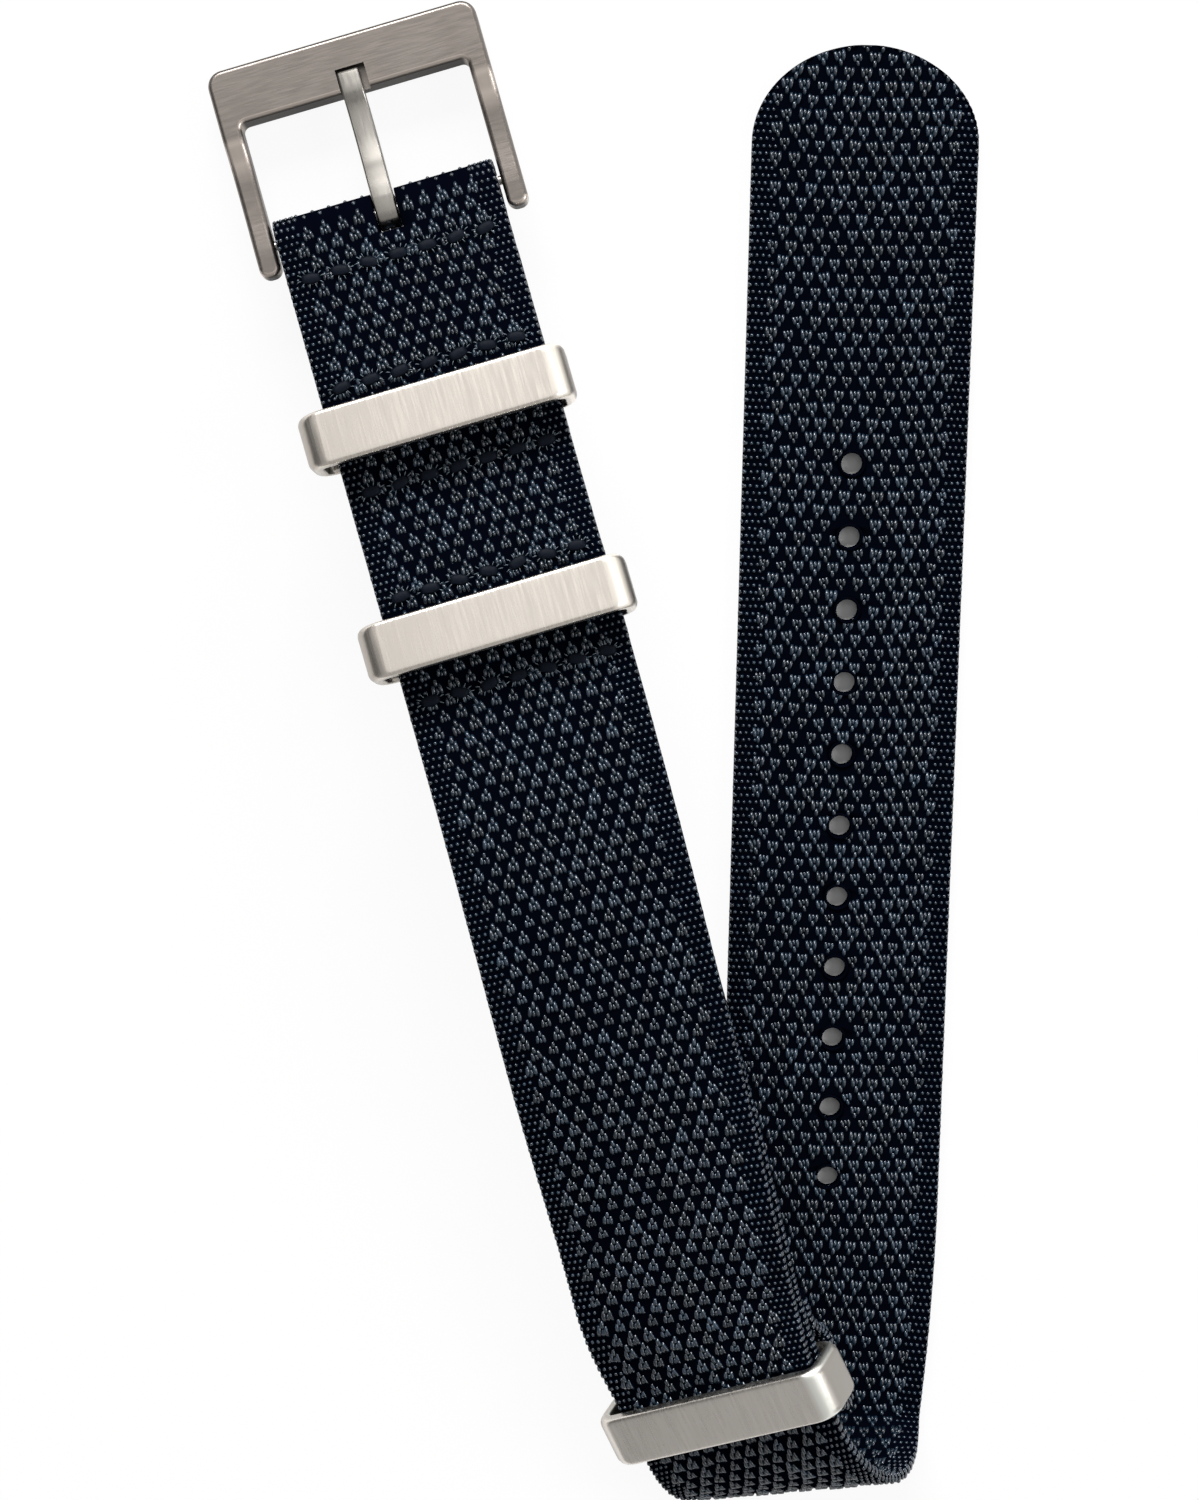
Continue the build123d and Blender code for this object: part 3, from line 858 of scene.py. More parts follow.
def bend_tree(name):
    """Tree that lays flat geometry, x across and y along, on a webbing's route."""
    tree, take, result = geometry_tree(name, [("Route", "Object", None), ("Side", "Float", 1.0)])
    route = value_of(tree, "GeometryNodeObjectInfo", {"Object": take["Route"]}, "Geometry")
    curve = value_of(tree, "GeometryNodeMeshToCurve", {"Mesh": route})
    x, y, z = split(tree, value_of(tree, "GeometryNodeInputPosition"))
    kind = "FLOAT_VECTOR"
    place = None
    for direction, part in (("across", x), ("outward", z)):
        vector = value_of(tree, "GeometryNodeInputNamedAttribute", {"Name": direction}, data_type=kind)
        inputs = {"Curves": curve, "Value": vector, "Length": y}
        sample = add_node(tree, "GeometryNodeSampleCurve", inputs, mode="LENGTH", data_type=kind)
        inputs = {0: Value(tree, sample.outputs["Value"]), "Scale": part * take["Side"]}
        step = value_of(tree, "ShaderNodeVectorMath", inputs, operation="SCALE")
        inputs = {0: place or Value(tree, sample.outputs["Position"]), 1: step}
        place = value_of(tree, "ShaderNodeVectorMath", inputs, operation="ADD")
    feed(tree, result, {0: moved(tree, take["Geometry"], place)})
    return tree


def length_of(x, y):
    """Length of a flat vector."""
    return (x**2 + y**2).root()


def hole_offset(x, left):
    """Offset across, offset along and distance from the nearest adjustment hole."""
    number = ((left - HOLE_FIRST) / HOLE_PITCH).rounded().at_least(0.0).at_most(HOLE_COUNT - 1)
    off_x = x - HOLE_SIDE
    off_y = left - (number * HOLE_PITCH + HOLE_FIRST)
    return off_x, off_y, length_of(off_x, off_y)


def trim_tree(name):
    """Tree that pushes flat geometry out of the holes and inside the rounded tip."""
    inputs = [
        ("Side", "Float", 1.0),
        ("Tip", "Float", 1.0),
        ("Hole Radius", "Float", 0.0),
        ("Margin", "Float", TRIM_MARGIN),
    ]
    tree, take, result = geometry_tree(name, inputs)
    x, y, z = split(tree, value_of(tree, "GeometryNodeInputPosition"))
    x = x * take["Side"]
    left = take["Tip"] - y
    off_x, off_y, away = hole_offset(x, left)
    push = (take["Hole Radius"] / away.at_least(HOLE_YARN_MARGIN) - 1.0).at_least(0.0)
    x = off_x * push + x
    left = off_y * push + left
    beyond = (TIP_LENGTH - left).at_least(0.0)
    reach_x = x / (WEB_WIDTH / 2 - take["Margin"])
    reach_y = beyond / (TIP_LENGTH - take["Margin"])
    reach = length_of(reach_x, reach_y).at_least(1.0)
    shrink = (reach - 1.0) * (beyond > 0.0) + 1.0
    x = x / shrink
    y = take["Tip"] - (left + (beyond - beyond / shrink))
    place = value_of(tree, "ShaderNodeCombineXYZ", {"X": x * take["Side"], "Y": y, "Z": z})
    feed(tree, result, {0: moved(tree, take["Geometry"], place)})
    return tree


def lattice_points(tree, take):
    """Points in staggered rows, crowded, bowed and loosened as the inputs say."""
    wide = (take["Columns"] - 1.0) * take["Column Pitch"]
    long = (take["Rows"] - 1.0) * take["Row Pitch"]
    inputs = {"Size X": wide, "Size Y": long, "Vertices X": take["Columns"], "Vertices Y": take["Rows"]}
    grid = value_of(tree, "GeometryNodeMeshGrid", inputs, "Mesh")
    x, y, z = split(tree, value_of(tree, "GeometryNodeInputPosition"))
    y = long * 0.5 + y
    row = (y / take["Row Pitch"]).rounded()
    x = (row % 2.0 - 0.5) * take["Stagger"] * 0.5 * take["Column Pitch"] + x
    half = (wide * 0.5).at_least(TRIM_MARGIN)
    lean = (1.0 - abs(x / half) ** 2) * half * take["Crowding"]
    x = lean * take["Side"] + x + take["Centre"]
    y = x * x * take["Bow"] + y + take["Start"]
    x = x + random_about(tree, take["Looseness"], take["Seed"] + LATTICE_SEEDS[0])
    y = y + random_about(tree, take["Looseness"], take["Seed"] + LATTICE_SEEDS[1])
    return moved(tree, grid, value_of(tree, "ShaderNodeCombineXYZ", {"X": x, "Y": y}))


def open_places(tree, take):
    """Mask of the points past the tip, at a hole, at the slot and on the calm top of the fold."""
    x, y, z = split(tree, value_of(tree, "GeometryNodeInputPosition"))
    x = x * take["Side"]
    left = take["Tip"] - y
    beyond = TIP_LENGTH - left
    reach = length_of(x / (WEB_WIDTH / 2), beyond.at_least(0.0) / TIP_LENGTH)
    past_tip = (beyond > 0.0) * (reach > TIP_OVERHANG_SHARE)
    in_hole = hole_offset(x, left)[2] < take["Hole Radius"] + HOLE_CELL_MARGIN
    in_slot = (abs(x) < take["Slot Half Width"]) * (y > take["Slot Start"]) * (y < take["Slot End"])
    calm = abs(y - take["Calm Middle"]) < take["Calm Half"]
    return past_tip + in_hole + in_slot + calm > 0.5


def copies(tree, points, shape, turn, **more):
    """Instances of a shape on points, each with its own turn."""
    held = value_of(tree, "GeometryNodeObjectInfo", {"Object": shape}, "Geometry")
    turned = value_of(tree, "ShaderNodeCombineXYZ", {"Z": turn})
    inputs = {"Points": points, "Instance": held, "Rotation": turned} | more
    return value_of(tree, "GeometryNodeInstanceOnPoints", inputs)


def lattice_tree(name):
    """Tree that repeats a yarn cell in staggered rows on a webbing's face."""
    inputs = [
        ("Route", "Object", None),
        ("Cell", "Object", None),
        ("Side", "Float", 1.0),
        ("Centre", "Float", 0.0),
        ("Columns", "Int", CELL_COLUMNS),
        ("Column Pitch", "Float", CELL_COLUMN_PITCH),
        ("Start", "Float", 0.0),
        ("Rows", "Int", 1),
        ("Row Pitch", "Float", CELL_ROW_PITCH),
        ("Stagger", "Float", 1.0),
        ("Crowding", "Float", 0.0),
        ("Bow", "Float", 0.0),
        ("Looseness", "Float", 0.0),
        ("Turn", "Float", 0.0),
        ("Smallest", "Float", 1.0),
        ("Largest", "Float", 1.0),
        ("Tip", "Float", 1.0),
        ("Hole Radius", "Float", 0.0),
        ("Slot Start", "Float", 0.0),
        ("Slot End", "Float", 0.0),
        ("Slot Half Width", "Float", 0.0),
        ("Calm Middle", "Float", 0.0),
        ("Calm Half", "Float", 0.0),
        ("Material", "Material", None),
        ("Seed", "Int", 1),
    ]
    tree, take, result = geometry_tree(name, inputs)
    inputs = {"Geometry": lattice_points(tree, take), "Selection": open_places(tree, take)}
    kept = value_of(tree, "GeometryNodeDeleteGeometry", inputs, domain="POINT")
    shade = random_between(tree, 0.0, 1.0, take["Seed"])
    inputs = {"Geometry": kept, "Name": "shade", "Value": shade}
    kind = "GeometryNodeStoreNamedAttribute"
    marked = value_of(tree, kind, inputs, data_type="FLOAT", domain="POINT")
    turn = random_about(tree, take["Turn"], take["Seed"] + LATTICE_SEEDS[2])
    size = random_between(tree, take["Smallest"], take["Largest"], take["Seed"] + LATTICE_SEEDS[3])
    placed = copies(tree, marked, take["Cell"], turn, Scale=size)
    real = value_of(tree, "GeometryNodeRealizeInstances", {"Geometry": placed})
    inputs = {"Geometry": real} | {label: take[label] for label in ("Side", "Tip", "Hole Radius")}
    trimmed = run_group(tree, "Trim To Webbing", trim_tree, inputs)[0]
    inputs = {"Geometry": trimmed, "Route": take["Route"], "Side": take["Side"]}
    bent = run_group(tree, "Lay On Webbing Route", bend_tree, inputs)[0]
    dyed(tree, bent, take["Material"], result)
    return tree


def core_tree(name):
    """Tree that lays a flat shape on a route and gives it its material."""
    inputs = [("Route", "Object", None), ("Material", "Material", None)]
    tree, take, result = geometry_tree(name, inputs)
    inputs = {"Geometry": take["Geometry"], "Route": take["Route"]}
    bent = run_group(tree, "Lay On Webbing Route", bend_tree, inputs)[0]
    dyed(tree, bent, take["Material"], result)
    return tree


def row_tree(name):
    """Tree that sets copies of a shape in a straight row."""
    inputs = [
        ("Shape", "Object", None),
        ("Count", "Int", STITCH_COUNT),
        ("First", "Vector", None),
        ("Step", "Vector", None),
        ("Turn", "Float", STITCH_TURN),
        ("Material", "Material", None),
        ("Seed", "Int", 1),
    ]
    tree, take, result = geometry_tree(name, inputs)
    inputs = {"Count": take["Count"], "Start Location": take["First"], "Offset": take["Step"]}
    line = value_of(tree, "GeometryNodeMeshLine", inputs)
    turn = random_about(tree, take["Turn"], take["Seed"])
    dyed(tree, copies(tree, line, take["Shape"], turn), take["Material"], result)
    return tree


# Effects that several materials share


def mixed(tree, factor, first, second):
    """Colour between two colours."""
    inputs = {0: factor, 6: first, 7: second}
    return value_of(tree, "ShaderNodeMix", inputs, 2, data_type="RGBA")


def noise(tree, vector, scale, detail=2.0):
    """Noise over the surface."""
    inputs = {"Vector": vector, "Scale": scale, "Detail": detail}
    return value_of(tree, "ShaderNodeTexNoise", inputs, "Fac")


def ranged(tree, value, reach, low=0.0, high=1.0):
    """Value carried from one range, where it stops, to another."""
    inputs = {"Value": value, "From Min": reach[0], "From Max": reach[1], "To Min": low, "To Max": high}
    return value_of(tree, "ShaderNodeMapRange", inputs)


def grain_group(name):
    """Group that draws fine brushed streaks as a colour, a roughness and a height."""
    inputs = [
        ("Vector", "Vector", None),
        ("Streak", "Vector", (1, 1, 1)),
        ("Colour", "Color", None),
        ("Contrast", "Float", STREAK_CONTRAST),
        ("Roughness", "Float", BUCKLE_ROUGHNESS),
    ]
    outputs = [("Colour", "Color"), ("Roughness", "Float"), ("Height", "Float")]
    tree, take, result = new_tree(name, "ShaderNodeTree", inputs, outputs)
    inputs = {0: take["Vector"], 1: take["Streak"]}
    stretched = value_of(tree, "ShaderNodeVectorMath", inputs, operation="MULTIPLY")
    fine = noise(tree, stretched, GRAIN_SCALE, GRAIN_DETAIL)
    spread = ranged(tree, fine, GRAIN_SPREAD_SHARES, -1.0, 1.0)
    inputs = {0: take["Colour"], "Scale": spread * take["Contrast"] + 1.0}
    streaked = value_of(tree, "ShaderNodeVectorMath", inputs, operation="SCALE")
    worn = noise(tree, take["Vector"], WEAR_SCALE) * WORN_SHARE
    colour = mixed(tree, worn, streaked, WORN_COLOUR)
    roughness = spread * GRAIN_ROUGHNESS + take["Roughness"]
    feed(tree, result, {"Colour": colour, "Roughness": roughness, "Height": fine})
    return tree


def facing_group(name):
    """Group that masks the places which face a direction of the piece."""
    inputs = [("Direction", "Vector", (0, 0, 1)), ("Starts", "Float", 0.0), ("Full", "Float", 1.0)]
    tree, take, result = new_tree(name, "ShaderNodeTree", inputs, [("Mask", "Float")])
    normal = value_of(tree, "ShaderNodeTexCoord", output="Normal")
    inputs = {0: normal, 1: take["Direction"]}
    turned = value_of(tree, "ShaderNodeVectorMath", inputs, "Value", operation="DOT_PRODUCT")
    feed(tree, result, {0: ranged(tree, turned, (take["Starts"], take["Full"]))})
    return tree


def fibre_group(name):
    """Group that makes yarn uneven in its dye, its roughness and its height."""
    inputs = [
        ("Level", "Float", 0.5),
        ("Dark", "Color", None),
        ("Light", "Color", None),
        ("Roughness", "Float", YARN_ROUGHNESS),
    ]
    outputs = [("Colour", "Color"), ("Roughness", "Float"), ("Height", "Float")]
    tree, take, result = new_tree(name, "ShaderNodeTree", inputs, outputs)
    place = value_of(tree, "ShaderNodeTexCoord", output="Object")
    level = take["Level"] * noise(tree, place, DYE_SCALE) * DYE_STRENGTH
    colour = mixed(tree, level, take["Dark"], take["Light"])
    uneven = noise(tree, place, FIBRE_SCALE) - FIBRE_MIDDLE_SHARE
    roughness = uneven * FIBRE_ROUGHNESS + take["Roughness"]
    height = noise(tree, place, LUMP_SCALE)
    feed(tree, result, {"Colour": colour, "Roughness": roughness, "Height": height})
    return tree


def new_material(name):
    """Material with an empty tree, its shader and its output."""
    material = bpy.data.materials.new(name)
    material.use_nodes = True
    tree = material.node_tree
    tree.nodes.clear()
    shader = tree.nodes.new("ShaderNodeBsdfPrincipled")
    output = tree.nodes.new("ShaderNodeOutputMaterial")
    tree.links.new(shader.outputs[0], output.inputs["Surface"])
    return material, tree, shader


def bumps(tree, height, strength, depth):
    """Normal that a height makes uneven."""
    inputs = {"Height": height, "Strength": strength, "Distance": depth}
    return value_of(tree, "ShaderNodeBump", inputs)


def yarn_material(name, dark, light, roughness, specular):
    """Yarn whose floats differ in shade between two colours."""
    if name in bpy.data.materials:
        return bpy.data.materials[name]
    material, tree, shader = new_material(name)
    shade = value_of(tree, "ShaderNodeAttribute", output="Fac", attribute_name="shade")
    inputs = {"Level": shade, "Dark": dark, "Light": light, "Roughness": roughness}
    dye, rough, height = run_group(tree, "Fibre", fibre_group, inputs)
    normal = bumps(tree, height, LUMP_STRENGTH, LUMP_DEPTH)
    feed(tree, shader, {"Base Color": dye, "Roughness": rough, "Normal": normal})
    shader.inputs["Specular IOR Level"].default_value = specular
    return material


def steel_material(name, colour, matrix, streak, roughness, contrast, painted_light=()):
    """Brushed steel in a placed frame, brightened or darkened where it faces given directions: painted
    highlights and painted shade.
    """
    material, tree, shader = new_material(name)
    inputs = {
        "Vector": value_of(tree, "ShaderNodeTexCoord", output="Object"),
        "Location": matrix.inverted().translation,
        "Rotation": matrix.inverted().to_euler(),
    }
    inputs = {
        "Vector": value_of(tree, "ShaderNodeMapping", inputs),
        "Streak": streak,
        "Colour": colour,
        "Contrast": contrast,
        "Roughness": roughness,
    }
    shade, rough, height = run_group(tree, "Brushed Grain", grain_group, inputs)
    # Painted light: the base colour is brightened as a painted highlight or darkened as painted shade
    # where the surface faces each direction
    for direction, starts, full, brightness, matt in painted_light:
        turned = matrix.to_3x3() @ Vector(direction)
        inputs = {"Direction": turned, "Starts": starts, "Full": full}
        mask = run_group(tree, "Facing", facing_group, inputs)[0]
        painted_tone = tuple(min(c * brightness, 1.0) for c in colour[:3]) + (1.0,)
        shade = mixed(tree, mask, shade, painted_tone)
        rough = mask * (matt - rough) + rough
    normal = bumps(tree, height, GRAIN_STRENGTH, GRAIN_DEPTH)
    feed(tree, shader, {"Base Color": shade, "Roughness": rough, "Normal": normal})
    shader.inputs["Metallic"].default_value = 1.0
    return material


# Webbing


def run_positions(run):
    """Distance along the route and length along the layer's middle line at each station of a run."""
    result, length, last = [], 0.0, None
    for distance, depth, turn in run:
        point, along, across, outward = place_at(distance)
        middle = point + outward * depth
        if last is not None:
            length += (middle - last).length
        last = middle
        result.append((distance, length))
    return result


def position_on(run, distance, from_end=True):
    """Length along a layer's middle line where its run crosses a distance, searched from one end."""
    places = run_positions(run)
    pairs = list(zip(places, places[1:]))
    for before, after in reversed(pairs) if from_end else pairs:
        low, high = sorted((before[0], after[0]))
        if low <= distance <= high and high > low:
            share = (distance - before[0]) / (after[0] - before[0])
            return before[1] + share * (after[1] - before[1])
    raise ValueError("the webbing doesn't pass there")


def path_object(name, run):
    """Edge mesh along a layer's middle line that carries its across and outward directions."""
    path, length = route_path(run)
    mesh = bpy.data.meshes.new(name)
    edges = [(i, i + 1) for i in range(len(path) - 1)]
    mesh.from_pydata([tuple(point) for point, across, outward in path], edges, [])
    for label, item in (("across", 1), ("outward", 2)):
        attribute = mesh.attributes.new(label, "FLOAT_VECTOR", "POINT")
        attribute.data.foreach_set("vector", [c for place in path for c in place[item]])
    return new_object(name, mesh), length


def core_piece(name, route, length, slot, material):
    """Dark core of a length of webbing, whose colour is partly painted shade, with its holes and its
    slot where it has them.
    """
    flat = band_object(name, length, TIP_LENGTH if slot else None)
    if slot:
        cutters = []
        for i in range(HOLE_COUNT):
            centre = (HOLE_SIDE, length - HOLE_FIRST - i * HOLE_PITCH)
            radius = HOLE_RADIUS + HOLE_CORE_MARGIN
            ends = [circle(radius, height, centre) for height in (-CUTTER_HALF, CUTTER_HALF)]
            cutters.append(new_object("Hole", lofted("Hole", ends, smooth=False)))
        outline = [(x, y) for x, y in zip((-SLOT_HALF, SLOT_HALF) * 2, sorted(slot * 2))]
        outline[2:] = reversed(outline[2:])
        ends = [[(x, y, height) for x, y in outline] for height in (-CUTTER_HALF, CUTTER_HALF)]
        cutters.append(new_object("Slot", lofted("Slot", ends, smooth=False)))
        cut(flat, cutters)
    laid = tree_named("Lay Core", core_tree)
    return finished(name, laid, {"Route": route, "Material": material}, flat)


def rims_piece(name, route, length, material):
    """Rolled rims of the adjustment holes on both faces."""
    laid, row, rims = tree_named("Lay Core", core_tree), tree_named("Row Of Copies", row_tree), []
    for height in (HALF_WEB - RIM_DROP, RIM_DROP - HALF_WEB):
        rings = []
        for i in range(RIM_SIDES):
            roll = 2 * math.pi * i / RIM_SIDES
            radius = HOLE_RADIUS + RIM_SPREAD + RIM_TUBE * math.cos(roll)
            rings.append(circle(radius, height + RIM_TUBE * math.sin(roll)))
        rim = new_object("Rim", lofted("Rim", rings, closed=True))
        values = {
            "Shape": rim,
            "Count": HOLE_COUNT,
            "First": (HOLE_SIDE, length - HOLE_FIRST, 0),
            "Step": (0, -HOLE_PITCH, 0),
            "Turn": 0.0,
            "Material": material,
        }
        flat = finished("Rims", row, values)
        rims.append(finished("Rims", laid, {"Route": route, "Material": material}, flat))
        bpy.data.objects.remove(rim)
    return joined(name, rims)


def weave_pieces(settings, prefix, length, common):
    """Cells of the weave on both faces, in one piece or two for each face."""
    lattice = tree_named("Yarn Lattice", lattice_tree)
    crest, dive = HALF_WEB + CELL_CREST, HALF_WEB + CELL_DIVE
    cell = yarn_object("Cell", CELL_FLOATS, crest, dive, CELL_FACETS)
    rows = int((length - END_MARGIN) / settings.row_pitch) + 1
    half = math.ceil(rows / 2)
    pieces = []
    for face, side, bow in (("front", 1.0, FRONT_BOW), ("back", -1.0, BACK_BOW)):
        parts = [(0, rows)] if rows < HALVED_FROM else [(0, half), (half, rows - half)]
        for number, (first, count) in enumerate(parts):
            name = f"{prefix}_weave_{face}_{number + 1}"
            values = common | {
                "Cell": cell,
                "Side": side,
                "Columns": settings.columns,
                "Column Pitch": settings.column_pitch,
                "Start": CELL_START + first * settings.row_pitch,
                "Rows": count,
                "Row Pitch": settings.row_pitch,
                "Stagger": 1.0 if first % 2 == 0 else -1.0,
                "Crowding": CELL_CROWDING_SHARE,
                "Bow": bow,
                "Looseness": settings.looseness,
                "Turn": CELL_TURN,
                "Smallest": CELL_SIZE_SHARES[0],
                "Largest": CELL_SIZE_SHARES[1],
                "Seed": WEAVE_SEED + number * HALF_SEED_STEP + (1 if side > 0 else 2),
            }
            pieces.append(finished(name, lattice, values))
    bpy.data.objects.remove(cell)
    return pieces


def edge_strips(common, centre, seed):
    """Lattices of yarn along both edges of a webbing."""
    lattice, strips = tree_named("Yarn Lattice", lattice_tree), []
    for edge in (-1, 1):
        values = common | {"Centre": edge * centre, "Seed": seed + edge}
        strips.append(finished("Strip", lattice, values))
    return strips


def selvedge_pieces(prefix, length, common, calm):
    """Beads of both selvedges, the few beads on the fold, and the yarn turns on the edges."""
    crest, dive = HALF_WEB + BEAD_CREST, HALF_WEB + BEAD_DIVE
    bead = yarn_object("Bead", BEAD_FLOATS, crest, dive, BEAD_FACETS)
    turn = yarn_object("Edge Turn", EDGE_TURN_FLOATS, EDGE_TURN_CREST, 0, EDGE_TURN_FACETS)
    rows = common | {
        "Calm Half": 0.0,
        "Start": SELVEDGE_START,
        "Rows": int((length - END_MARGIN) / SELVEDGE_ROW_PITCH),
        "Row Pitch": SELVEDGE_ROW_PITCH,
        "Column Pitch": SELVEDGE_PITCH,
    }
    beads = rows | {
        "Cell": bead,
        "Columns": SELVEDGE_COLUMNS,
        "Looseness": SELVEDGE_LOOSENESS,
        "Turn": SELVEDGE_TURN,
    }
    fold_beads = beads | {
        "Columns": CELL_COLUMNS,
        "Column Pitch": CELL_COLUMN_PITCH,
        "Start": calm - FOLD_CALM_HALF + SELVEDGE_START,
        "Rows": FOLD_BEAD_ROWS,
        "Row Pitch": FOLD_BEAD_ROW_PITCH,
        "Looseness": CELL_LOOSENESS,
        "Seed": FOLD_SEED,
    }
    turns = rows | {"Cell": turn, "Columns": 1, "Looseness": EDGE_LOOSENESS, "Stagger": 0.0}
    pieces = []
    for face, side in (("front", 1.0), ("back", -1.0)):
        strips = edge_strips(beads | {"Side": side}, SELVEDGE_CENTRE, SELVEDGE_SEED)
        if calm and side > 0:
            strips.append(finished("Fold Beads", tree_named("Yarn Lattice", lattice_tree), fold_beads))
        pieces.append(joined(f"{prefix}_selvedge_{face}", strips))
    pieces.append(joined(f"{prefix}_edges", edge_strips(turns, EDGE_TURN_CENTRE, EDGE_SEED)))
    for each in (bead, turn):
        bpy.data.objects.remove(each)
    return pieces


def webbing_pieces(settings, prefix, run, slot=None):
    """Core, weave and selvedges of a length of webbing, which has a tail where it has a slot."""
    route, length = path_object(prefix + "_route", run)
    yarn = yarn_material(
        "Webbing Yarn", settings.dark_yarn, settings.light_yarn, YARN_ROUGHNESS, YARN_SPECULAR
    )
    # The core's colour is partly painted shade, darker than the yarn so the gaps between the floats look
    # shaded
    core = yarn_material(
        "Webbing Core", CORE_COLOUR_AND_SHADE, settings.core_colour_and_shade, CORE_ROUGHNESS, CORE_SPECULAR
    )
    calm = (slot[0] + slot[1]) / 2 if slot else 0.0
    common = {"Route": route, "Material": yarn}
    pieces = [core_piece(prefix + "_core", route, length, slot, core)]
    if slot:
        pieces.append(rims_piece(prefix + "_hole_rims", route, length, core))
        common |= {
            "Tip": length,
            "Hole Radius": HOLE_RADIUS + HOLE_YARN_MARGIN,
            "Slot Start": slot[0],
            "Slot End": slot[1],
            "Slot Half Width": SLOT_CELL_HALF,
            "Calm Middle": calm,
            "Calm Half": FOLD_CALM_HALF,
        }
    pieces += weave_pieces(settings, prefix, length, common)
    pieces += selvedge_pieces(prefix, length, common, calm)
    bpy.data.objects.remove(route)
    for piece in pieces:
        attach(piece, "strap")
    return pieces


def build_long_webbing(settings):
    """Long webbing, from its fold round the spring bar to its tip."""
    run = main_strap_run()
    slot_start = position_on(run, FOLD_CENTRE + SLOT_BACK_REACH, from_end=False)
    slot_end = position_on(run, FOLD_CENTRE + SLOT_FRONT_REACH)
    pieces = webbing_pieces(settings, "long_webbing", run, (slot_start, slot_end))
    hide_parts("main_strap")


def build_short_webbing(settings):
    """Short webbing under the long one, with its pockets and its end loop."""
    pieces = webbing_pieces(settings, "short_webbing", keeper_strap_run())
    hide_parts("keeper_strap")


# Stitching


def stitch_object(length, width):
    """Flat twisted thread of a stitch, whose ends go down."""
    rings = []
    for i in range(STITCH_STEPS + 1):
        share = i / STITCH_STEPS
        off = abs(2 * share - 1)
        place = (2 * share - 1) * length / 2
        z = -STITCH_DIP * off**STITCH_DIP_POWER
        swell = math.sqrt(max(1 - off**STITCH_SWELL_POWER, 0))
        swell = STITCH_END_SHARE + (1 - STITCH_END_SHARE) * swell
        ring = []
        for j in range(STITCH_SIDES):
            turn = 2 * math.pi * j / STITCH_SIDES
            twist = 1 + STITCH_TWIST_SHARE * math.cos(2 * turn + share * STITCH_TWIST)
            out = twist * swell * width / 2
            ring.append((place, math.cos(turn) * out, z + math.sin(turn) * out * STITCH_FLATNESS_SHARE))
        rings.append(ring)
    return new_object("Stitch", lofted("Stitch", rings))


def fray_object():
    """Fine yarn ends that stand out round a stitch."""
    floats = []
    for angle in FRAY_ANGLES:
        ahead = Vector((math.cos(math.radians(angle)), math.sin(math.radians(angle))))
        start = Vector((ahead.x * FRAY_REACH[0], ahead.y * FRAY_REACH[1]))
        end = start + ahead * FRAY_LENGTH
        floats.append((start / MM, end / MM, FRAY_WIDTH / MM, FRAY_WIDTH / MM, 0))
    return yarn_object("Fray", floats, FRAY_CREST, FRAY_DIVE, FRAY_FACETS)


def build_seams(settings):
    """Stitches of every seam on both of its faces, with the frayed yarn round them."""
    tree = tree_named("Row Of Copies", row_tree)
    thread = yarn_material(
        "Seam Thread", THREAD_COLOUR, settings.thread_colour, THREAD_ROUGHNESS, THREAD_SPECULAR
    )
    loose = settings.fray_colour
    frayed = yarn_material("Frayed Yarn", loose, loose, FRAY_ROUGHNESS, FRAY_SPECULAR)
    stitch, fray = stitch_object(settings.stitch_length, settings.stitch_width), fray_object()
    for number, (name, (distance, top, bottom)) in enumerate(SEAMS.items()):
        for label, shape, material in (("thread", stitch, thread), ("frays", fray, frayed)):
            rows = []
            for face, depth in (("front", top), ("back", bottom)):
                values = {
                    "Shape": shape,
                    "Count": settings.stitch_count,
                    "First": (STITCH_FIRST, 0, 0),
                    "Step": (STITCH_PITCH, 0, 0),
                    "Turn": STITCH_TURN,
                    "Material": material,
                    "Seed": number * 2 + (1 if face == "front" else 2),
                }
                row = finished(name + face, tree, values)
                matrix = frame_at(distance, depth)
                if face == "back":
                    matrix = matrix @ Matrix.Rotation(math.pi, 4, "Y")
                row.data.transform(matrix)
                rows.append(row)
            seam = joined(f"{name}_{label}", rows)
            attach(seam, "strap")
            if label == "thread":
                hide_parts(name)
    for each in (stitch, fray):
        bpy.data.objects.remove(each)


# Steel


def smooth_path(points, parts):
    """Points along a smooth curve through others, each with as many numbers."""
    result = []
    for i in range(len(points) - 1):
        around = [points[max(i - 1, 0)], points[i], points[i + 1], points[min(i + 2, len(points) - 1)]]
        for k in range(parts):
            t = k / parts
            row = []
            for a, b, c, d in zip(*around):
                bend = (2 * a - 5 * b + 4 * c - d) * t**2 + (3 * b - a - 3 * c + d) * t**3
                row.append((2 * b + (c - a) * t + bend) / 2)
            result.append(tuple(row))
    result.append(tuple(points[-1]))
    return result


